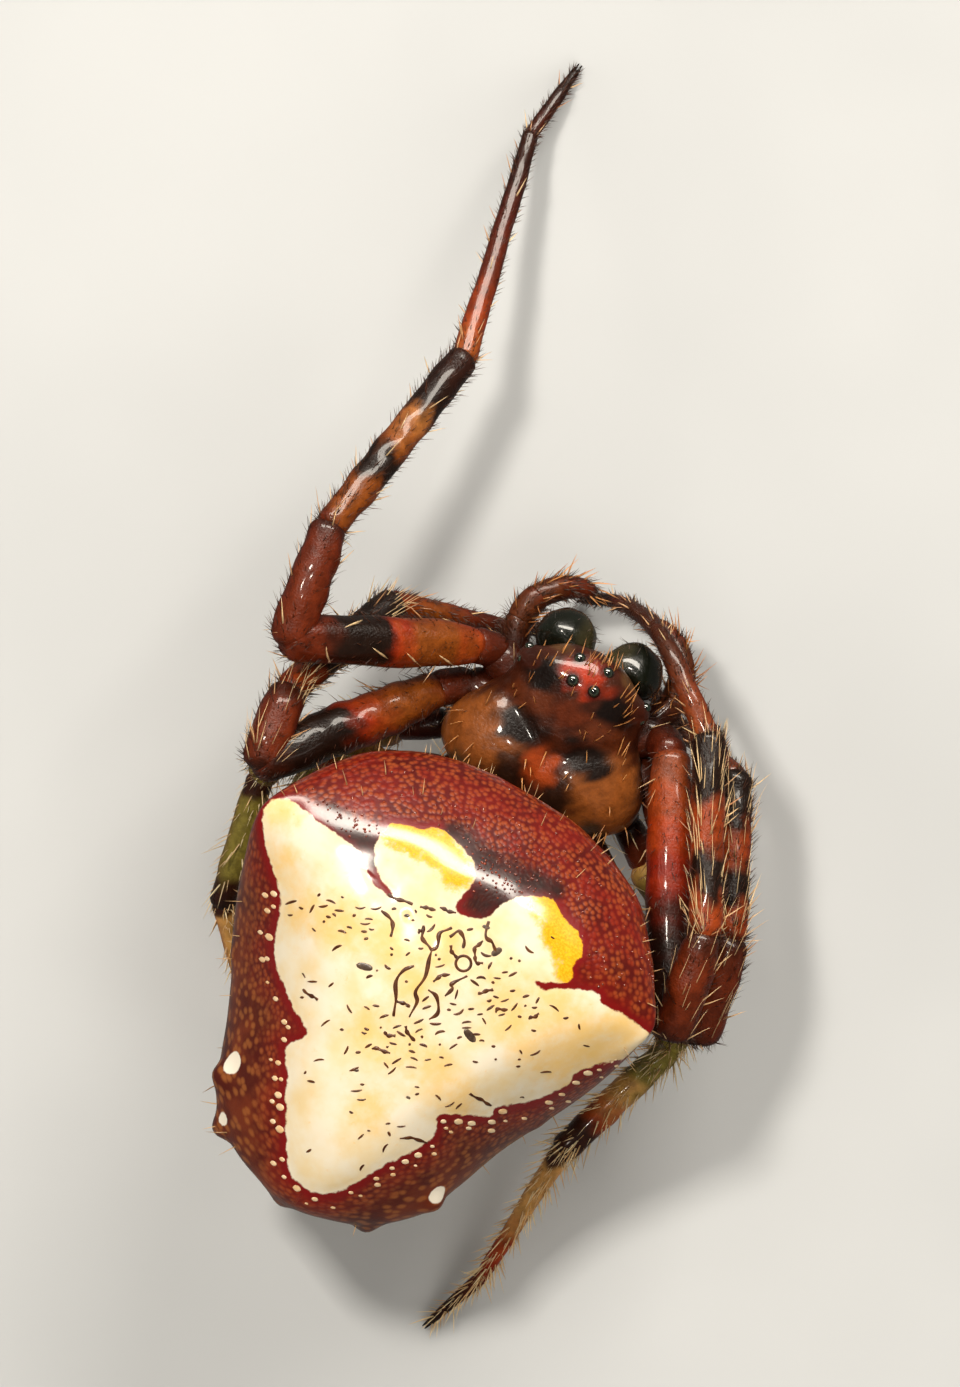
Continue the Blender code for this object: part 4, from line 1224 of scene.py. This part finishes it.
class Coat:
    """Hairs gathered from several skins into one piece."""

    def __init__(self, name, finish, slot):
        self.name, self.finish, self.slot = name, finish, slot
        self.hairs = []

    def grow(self, rings, count, seed, length, thick, lean, bend, heading=(1, 0), tones=(0, 1),
             along=(0, 1), around=(0, 1), stray=0.3):
        """Scatters hairs over a grid. Heading turns the lie from along the grid, in
        shares of the way along and the way around, and stray is its spread."""
        draw = np.random.default_rng(seed)
        u, v = draw.uniform(*along, count), draw.uniform(*around, count)
        normals = unit(grid_read(ring_normals(rings), u, v))
        way_along = unit(grid_read(np.gradient(rings, axis=0), u, v))
        way_around = np.cross(normals, way_along)
        lie = way_along * heading[0] + way_around * (heading[1] + draw.normal(0, stray, count))[:, None]
        shape = [grid_read(rings, u, v), normals, lie]
        shape += [draw.uniform(*limits, count) for limits in (length, thick, lean)]
        shape.append(np.full(count, bend))
        tones = draw.uniform(*tones, count)
        ends = hair_mesh(*shape)[0].reshape(count, HAIR_POINTS, 3)
        clear = np.all((ends > HAIR_BOX[0]) & (ends < HAIR_BOX[1]), axis=(1, 2))
        mesh = hair_mesh(*(values[clear] for values in shape))
        self.hairs.append((mesh, tones[clear], np.stack([u, v], -1)[clear]))

    def build(self):
        """One object, with each hair a small patch at its root's place on the unwrap.
        The skins lie side by side in a square of cells."""
        parts, tones, roots = zip(*self.hairs)
        cells = math.ceil(math.sqrt(len(roots)))
        corners = [
            (np.array([k % cells, k // cells]) + 0.03 + 0.94 * places) / cells
            for k, places in enumerate(roots)
        ]
        turn = full_turn(HAIR_POINTS)
        patch = PATCH_RADIUS * np.stack([np.cos(turn), np.sin(turn)], -1)
        uv = (np.concatenate(corners)[:, None] + patch).reshape(-1, 2)
        numbers = {"tone": np.repeat(np.concatenate(tones), HAIR_POINTS)}
        mesh_object(self.name, joined(parts), self.finish, numbers=numbers, uv=uv)


def carapace_grid(along=170, around=150):
    """Head and thorax: rounded sections across the body. The furrows are bell-shaped
    dips along the middle line behind the head and along two lines that run from it to
    the sides of the head, and the warts of the side eyes are bell-shaped swellings."""
    sections = np.array(CARAPACE_SECTIONS)
    sections[:, 1] *= CARAPACE_WIDTH / 2
    place = 0.5 - 0.5 * np.cos(np.linspace(0, math.pi, along + 2))[1:-1]
    dense = curve_through(sections, 600)
    dense[:, 1] = np.maximum(dense[:, 1], 0.0)
    y = dense[0, 0] + (dense[-1, 0] - dense[0, 0]) * place
    half, top, middle, bottom = (np.interp(y, dense[:, 0], dense[:, k])[:, None] for k in range(1, 5))
    side, rise = np.cos(full_turn(around)), np.sin(full_turn(around))
    x = half * side
    z = middle + (top - middle) * np.maximum(rise, 0) + (middle - bottom) * np.minimum(rise, 0)
    y = np.broadcast_to(y[:, None], x.shape)
    grid = np.stack([x, y, z], -1)
    reach = np.abs(x)
    groove = 0.13 * bell(x, 0.20) * smooth_step(-0.05, -0.45, y) * smooth_step(-1.3, -0.9, y)
    furrow = 0.055 * bell(y + 0.42 - 0.62 * reach, 0.16) * smooth_step(0.05, 0.35, reach)
    lobes = 0.07 * bell(reach - 0.85, 0.42) * bell(y + 0.55, 0.50)
    wart = bell(np.linalg.norm(np.stack([reach, y, z], -1) - SIDE_EYE_WART, axis=-1), 0.15)
    bumps = 0.006 * waves(grid, 0.5, 21)
    raised = smooth_step(0.0, 0.35, rise) * (lobes - groove - furrow + bumps) + 0.09 * wart
    return grid + ring_normals(grid) * raised[..., None]


# Colours of the head and thorax, painted in order: half spacing, along, radius across,
# radius along, colour and strength. The thorax lobes are tan, the furrows dark.
CARAPACE_BASE = tone(64, 28, 14)
CARAPACE_BELLY = tone(56, 30, 18)
CARAPACE_PAINT = (
    (0.92, -0.55, 0.72, 0.70, tone(136, 76, 32), 1.0), (0.50, 0.16, 0.44, 0.22, tone(92, 42, 19), 0.9),
    (0.46, -0.20, 0.42, 0.27, tone(24, 12, 7), 1.0), (0.34, -0.92, 0.25, 0.46, tone(34, 18, 11), 0.95),
    (0.98, -0.98, 0.22, 0.16, tone(50, 42, 22), 0.8), (0.0, -0.55, 0.26, 0.32, tone(160, 66, 24), 1.0),
    (0.0, -1.05, 0.14, 0.34, tone(60, 28, 18), 0.9), (0.52, 0.50, 0.34, 0.24, tone(20, 11, 8), 1.0),
    (0.0, 0.22, 0.30, 0.22, tone(92, 38, 16), 0.9), (0.0, 0.72, 0.38, 0.30, tone(166, 46, 12), 1.0),
    (0.20, 0.90, 0.14, 0.12, tone(44, 14, 9), 0.8), (0.15, 0.60, 0.15, 0.13, tone(56, 14, 9), 0.8),
    (0.78, 0.63, 0.18, 0.18, tone(58, 23, 13), 0.9), (0.56, 0.94, 0.26, 0.12, tone(96, 66, 38), 0.8),
)


def carapace_colours(grid):
    """Soft oval patches painted in order over a brown base, with a blotched edge, and
    the under side dark."""
    flat = grid.reshape(-1, 3)
    colours = np.tile(CARAPACE_BASE, (len(flat), 1))
    blotch = 0.20 * waves(flat, 0.30, 31)
    for x, y, wide, long, colour, strength in CARAPACE_PAINT:
        away = np.hypot((np.abs(flat[:, 0]) - x) / wide, (flat[:, 1] - y) / long) + blotch
        colours = blend(colours, colour, strength * (1 - smooth_step(0.5, 1.1, away)))
    return blend(colours, CARAPACE_BELLY, smooth_step(1.75, 1.55, flat[:, 2])).reshape(grid.shape)


def ball_rings(centre, radii, sides=28, count=14):
    """Rings of an ellipsoid round an upright axis, and its two poles."""
    rise = np.linspace(-math.pi / 2, math.pi / 2, count + 2)[1:-1, None]
    turn = full_turn(sides)
    level, out = np.sin(rise) + 0 * turn, np.cos(rise)
    shape = np.stack([out * np.cos(turn), out * np.sin(turn), level], -1)
    pole = np.array([0, 0, radii[2]])
    return centre + shape * radii, centre - pole, centre + pole


def build_abdomen():
    """The abdomen's skin, its marks, its dots and its sparse bristles."""
    grid, level, plate = abdomen_grid()
    surface = shell(grid, *turned(np.array([TOP_POLE, BELLY_POLE])))
    steps = np.linalg.norm(np.diff(grid, axis=0), axis=-1)
    down = np.concatenate([np.zeros((1, grid.shape[1])), np.cumsum(steps, axis=0)])
    turns = full_turn(grid.shape[1])
    turns = np.where(turns > math.pi, turns - 2 * math.pi, turns)
    flat = np.stack([np.broadcast_to(turns * FLAT_RADIUS, down.shape), down, 0 * down], -1)
    mesh_object(
        "abdomen_skin", surface, abdomen_finish(), ["abdomen"],
        numbers=abdomen_numbers(grid, level, plate), flat=with_poles(flat),
    )

    drape = upper_side(surface)
    outline = curve_through(PLATE, 4 * len(PLATE), closed=True)

    def plate_at(points):
        return outline_distance(points, outline)

    brown = clouded_finish("vein_brown", tone(70, 34, 16), tone(104, 60, 30), **MARK_LOOK)
    grey = clouded_finish("pit_grey", tone(62, 46, 38), tone(110, 90, 74), **MARK_LOOK)
    cream = clouded_finish(
        "rim_dots", tone(240, 196, 140), tone(250, 225, 185),
        roughness=0.35, coat_weight=0.3, coat_roughness=0.1,
    )
    wet_red = clouded_finish(
        "skin_grains", tone(96, 28, 12), tone(150, 58, 30),
        roughness=0.12, coat_weight=1.0, coat_roughness=0.04,
    )
    veins, taken = vein_marks(drape)
    for name, marks, finish in (
        ("plate_veins", veins, brown),
        ("plate_dashes", dash_marks(drape, plate_at, taken), brown),
        ("plate_pits", pit_marks(drape), grey),
        ("plate_rim_dots", rim_dots(drape, plate_at), cream),
        ("skin_grains", skin_grains(drape, plate_at), wet_red),
    ):
        mesh_object(name, marks, finish)

    coat = Coat("abdomen_bristles", hair_finish("abdomen_bristle"), "abdomen_skin")
    for count, seed, length, apart in ABDOMEN_BRISTLES:
        coat.grow(grid, count, seed, length, **ABDOMEN_BRISTLE, **apart)
    coat.build()


def build_waist_and_spinnerets():
    """The narrow waist, and the six short spinnerets on their base."""
    waist = np.array(WAIST)
    rings, _, ends = limb(waist[:, :3], waist[:, 3], 20, 24)
    skin = painted_finish("waist_skin")
    mesh_object("waist", shell(rings, *ends), skin, colours=tone(70, 32, 20))

    parts = []
    coat = Coat("spinneret_hairs", hair_finish("spinneret_hair"), "spinneret_skin")
    lines = [(SPINNERET_BASE, 1, 0.5)]
    lines += [(line, side, 0.25) for side in (-1, 1) for line in SPINNERETS]
    for k, ((line, radii), side, cap) in enumerate(lines):
        line = np.array(line) * (side, 1, 1)
        rings, _, ends = limb(line, radii, 18, 22, (cap, cap), reference=(1.0, 0.0, 0.0))
        parts.append(shell(rings, *ends))
        coat.grow(rings, 46, 200 + k, **SPINNERET_HAIR)
    surface = joined(parts)
    shade = 0.8 + 0.5 * smooth_step(1.0, 1.4, surface[0][:, 2:])
    mesh_object(
        "spinneret_skin", surface, painted_finish("spinneret_skin"),
        ["spinnerets"], colours=np.array(tone(64, 32, 16)) * shade,
    )
    coat.build()


def build_head():
    """The carapace with its eyes, the jaws with their fangs, and the palps."""
    grid = carapace_grid()
    ends = [(0.0, section[0], section[3]) for section in (CARAPACE_SECTIONS[0], CARAPACE_SECTIONS[-1])]
    mesh_object(
        "carapace_skin", shell(grid, *ends), painted_finish("carapace_skin"),
        ["cephalothorax"], colours=with_poles(carapace_colours(grid)),
    )
    lens = eye_finish()
    for name in [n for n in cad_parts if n.startswith("eye_")]:
        low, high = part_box(name)
        centre, radius = np.array(low + high) / 2 / MM, (high - low).x / 2 / MM
        surface = shell(*ball_rings(centre, [radius] * 3))
        rise = {"rise": (surface[0][:, 2] - centre[2]) / radius}
        mesh_object(name + "_lens", surface, lens, [name], numbers=rise)

    coat = Coat("head_bristles", hair_finish("head_bristle"), "carapace_skin")
    for count, seed, length, apart in HEAD_BRISTLES:
        coat.grow(grid, count, seed, length, **HEAD_BRISTLE, **apart)
    hairs = Coat("palp_hairs", hair_finish("palp_hair"), "palp_skin")
    bristles = Coat("palp_bristles", hair_finish("palp_bristle"), "palp_skin")
    skins = {part: painted_finish(part + "_skin") for part in ("jaw", "fang", "palp")}
    for sign, side in ((-1, "left"), (1, "right")):
        build_jaw(sign, side, skins, hairs)
        build_palp(sign, side, skins["palp"], hairs, bristles)
    for each in (coat, hairs, bristles):
        each.build()


def build_jaw(sign, side, skins, hairs):
    """One jaw, dark with an olive inner side, and its fang."""
    jaw = np.array(JAW_STATIONS) * (sign, 1, 1, 1)
    rings, share, ends = limb(jaw[:, :3], jaw[:, 3], 60, 44, (0.22, 0.16))
    rings = rings + ring_normals(rings) * (0.01 * waves(rings, 0.4, 51))[..., None]
    inner = smooth_step(0.44, 0.26, rings[..., 0] * sign)
    inner *= (smooth_step(0.05, 0.2, share) * smooth_step(0.55, 0.35, share))[:, None]
    shades = blend(tone(18, 22, 14), tone(54, 50, 28), inner)
    mesh_object(
        f"jaw_{side}", shell(rings, *ends), skins["jaw"], [f"chelicera_{side}"],
        colours=with_poles(shades),
    )
    hairs.grow(rings, 160, 300 + sign, (0.05, 0.14), **PALP_HAIR, tones=(0, 0.6), along=(0.35, 0.95))
    rings, _, ends = limb(np.array(FANG) * (sign, 1, 1), FANG_RADII, 26, 16)
    mesh_object(f"fang_{side}", shell(rings, *ends), skins["fang"], colours=tone(40, 12, 8))


def build_palp(sign, side, skin, hairs, bristles):
    """One palp as four jointed lengths, with its hairs and bristles."""
    whole = curve_through(np.array(PALP_STATIONS) * (sign, 1, 1, 1), 101)
    parts, shades = [], []
    for k, (low, high, start, end) in enumerate(PALP_SPANS):
        line = whole[low : high + 1 : 4]
        middle = line[:, 3].mean()
        radii = np.array((0.95, 1.03, 1.02, 0.96)) * middle
        if high == 100:
            radii = np.array((0.95, 0.95, 0.8, 0.45)) * line[0, 3]
        line = lengthened(line[:, :3], middle * 0.45, middle * 0.3)
        rings, share, ends = limb(line, radii, 30, 26, (0.14, 0.14))
        parts.append(shell(rings, *ends))
        share = np.repeat(share[:, None], 26, 1)
        shades.append(with_poles(banded(((0, start), (0.6, start), (1, end)), share)))
        hairs.grow(rings, 170, 310 + 5 * k + sign, (0.07, 0.16), **PALP_HAIR)
        bristles.grow(rings, 12, 340 + 5 * k + sign, **PALP_BRISTLE)
    shades = np.concatenate(shades)
    mesh_object(f"palp_{side}_skin", joined(parts), skin, [f"palp_{side}"], colours=shades)


def build_legs():
    """The eight legs, each one piece with its joints, and their hairs, bristles, claws."""
    skin = painted_finish("leg_skin")
    dark, pale, gold = (hair_finish(name) for name in ("leg_hair", "leg_bristle", "rear_bristle"))
    claws = []
    for order, name in enumerate(LEGS):
        surface, colours, grids = leg_skin(name, order)
        nodes = [f"leg_{name}_{part}" for part in ("femur", "tibia", "foot")]
        mesh_object(f"leg_{name}_skin", surface, skin, nodes, colours=colours)
        rear = name[-1] in "34"
        hairs = Coat(f"leg_{name}_hairs", gold if rear else dark, "tibia_skin")
        bristles = Coat(f"leg_{name}_bristles", gold if rear else pale, "tibia_skin")
        for k, (kind, rings) in enumerate(grids.items()):
            fine, stout = SEGMENT_HAIRS[kind]
            small = 0.7 if kind in ("tarsus", "metatarsus") else 1.0
            if name == "right_4":
                fine, stout, small = fine // 2, stout * 4, 1.0
            elif rear:
                fine //= 4
            seed = 1000 + 40 * order + 2 * k
            fine_length, stout_length = small * np.array([LEG_HAIR_LENGTH, LEG_BRISTLE_LENGTH])
            hairs.grow(rings, fine, seed, fine_length, **LEG_HAIR)
            bristles.grow(rings, stout, seed + 1, stout_length, **LEG_BRISTLE)
            if name in BRISTLY_SHINS and kind in SHIN_BRISTLES:
                bristles.grow(rings, SHIN_BRISTLES[kind], seed + 500, **SHIN_BRISTLE)
        if name == "left_1":
            bristles.hairs.append(thigh_spines())
        hairs.build()
        bristles.build()
        claws += claw_pair(np.array(leg_lengths(name)["tarsus"]))
    skin = painted_finish("claw_skin")
    mesh_object("claws", joined(claws), skin, colours=tone(24, 12, 8))


def thigh_spines():
    """The spines behind the first left thigh, as hairs with a tone and an unwrap."""
    roots, tips = (np.array(v) for v in zip(*THIGH_SPINES))
    ways = tips - roots
    count = len(ways)
    lengths = np.linalg.norm(ways, axis=1)
    lie = np.tile((1.0, 0.3, 0.2), (count, 1))
    thick, lean, bend = (np.full(count, v) for v in (0.021, 0.0, 0.08))
    mesh = hair_mesh(roots, unit(ways), lie, lengths, thick, lean, bend)
    return mesh, np.full(count, 0.9), np.full((count, 2), 0.5)


def claw_pair(line):
    """Two small arched claws side by side at the end of a leg's line."""
    way = unit(line[-1] - line[-2])
    side = unit(np.cross(way, (0.0, 0.0, 1.0)))
    claws = []
    for shift in (-0.022, 0.022):
        start = line[-1] - way * 0.03 + side * shift + (0, 0, 0.01)
        bent = (start, start + way * 0.07 + (0, 0, 0.03), start + way * 0.13 + (0, 0, 0.005))
        rings, _, ends = limb(bent, (0.018, 0.014, 0.006), 12, 8)
        claws.append(shell(rings, *ends))
    return claws


def build_floor():
    """A wide pale floor: one flat sheet."""
    mesh = bpy.data.meshes.new("floor")
    corners = np.array([(-1, -1, 0), (1, -1, 0), (1, 1, 0), (-1, 1, 0)]) * FLOOR_HALF * MM
    mesh.from_pydata(corners.tolist(), [], [(0, 1, 2, 3)])
    paper = clouded_finish(
        "floor_paper", tone(198, 201, 204), tone(206, 209, 212), pitch=9.0, spread=0.2, roughness=0.8
    )
    mesh.materials.append(paper)
    floor = bpy.data.objects.new("floor", mesh)
    bpy.context.scene.collection.objects.link(floor)
    floor.visible_glossy = False


def area_light(name, place, aim, size, watts, glossy=True, diffuse=True, roll=0.0):
    """A soft rectangular light at a place in millimetres, facing a point, and rolled
    about that line. One that isn't glossy leaves no reflection of itself in shiny skins,
    and one that isn't diffuse leaves nothing else."""
    light = bpy.data.lights.new(name, "AREA")
    light.shape = "RECTANGLE"
    light.size, light.size_y = size[0] * MM, size[1] * MM
    light.energy = watts
    light.color = LIGHT_COLOUR
    lamp = bpy.data.objects.new(name, light)
    bpy.context.scene.collection.objects.link(lamp)
    way = np.array(place) - np.array(aim)
    lamp.location = np.array(place) * MM
    flat = math.hypot(way[0], way[1])
    facing = Euler((math.atan2(flat, way[2]), 0.0, math.atan2(way[1], way[0]) + math.pi / 2))
    facing = facing.to_matrix() @ Matrix.Rotation(math.radians(roll), 3, "Z")
    lamp.rotation_euler = facing.to_euler()
    lamp.visible_glossy, lamp.visible_diffuse = glossy, diffuse


def build_lights():
    """A small key light beside the view, a strip in front of the spider for the long
    highlight on the abdomen's crest, a flash above it for small glints, three wide soft
    lights and a pale surround."""
    area_light("key", (-40.0, 12.6, 90.0), (0, -1.5, 2), (12, 12), 0.060)
    area_light("strip", (-30.0, 78.0, 61.0), (0, -1.5, 3), (110, 30), 0.270, diffuse=False, roll=-8.0)
    area_light("flash", (-10.0, -3.0, 98.0), (0, -1.5, 3), (4, 4), 0.012, diffuse=False)
    area_light("front", (2.0, 82.0, 58.0), (0, -1.5, 3), (54, 42), 0.080, glossy=False)
    area_light("fill", (60.0, -50.0, 96.0), (0, -1.5, 2), (80, 80), 0.047, glossy=False)
    area_light("side", (-90.0, -40.0, 50.0), (0, -1.5, 2), (60, 60), 0.018, glossy=False)
    world = bpy.data.worlds.new("surround")
    world.use_nodes = True
    background = world.node_tree.nodes["Background"].inputs
    background["Color"].default_value, background["Strength"].default_value = SURROUND, 0.13
    bpy.context.scene.world = world


def build_camera():
    """A long lens straight down over the spider, turned as the photograph is."""
    camera = bpy.data.cameras.new("camera")
    camera.sensor_width = SENSOR
    camera.lens = SENSOR * CAMERA_DISTANCE / VIEW_TALL
    camera.clip_start, camera.clip_end = 0.005, 5.0
    eye = bpy.data.objects.new("camera", camera)
    eye.location = np.array([*VIEW_CENTRE, VIEW_LEVEL + CAMERA_DISTANCE]) * MM
    eye.rotation_euler = (0.0, 0.0, VIEW_TURN)
    bpy.context.scene.collection.objects.link(eye)
    bpy.context.scene.camera = eye
    bpy.context.scene.view_settings.view_transform = "Standard"


build_abdomen()
build_waist_and_spinnerets()
build_head()
build_legs()
build_floor()
build_lights()
build_camera()
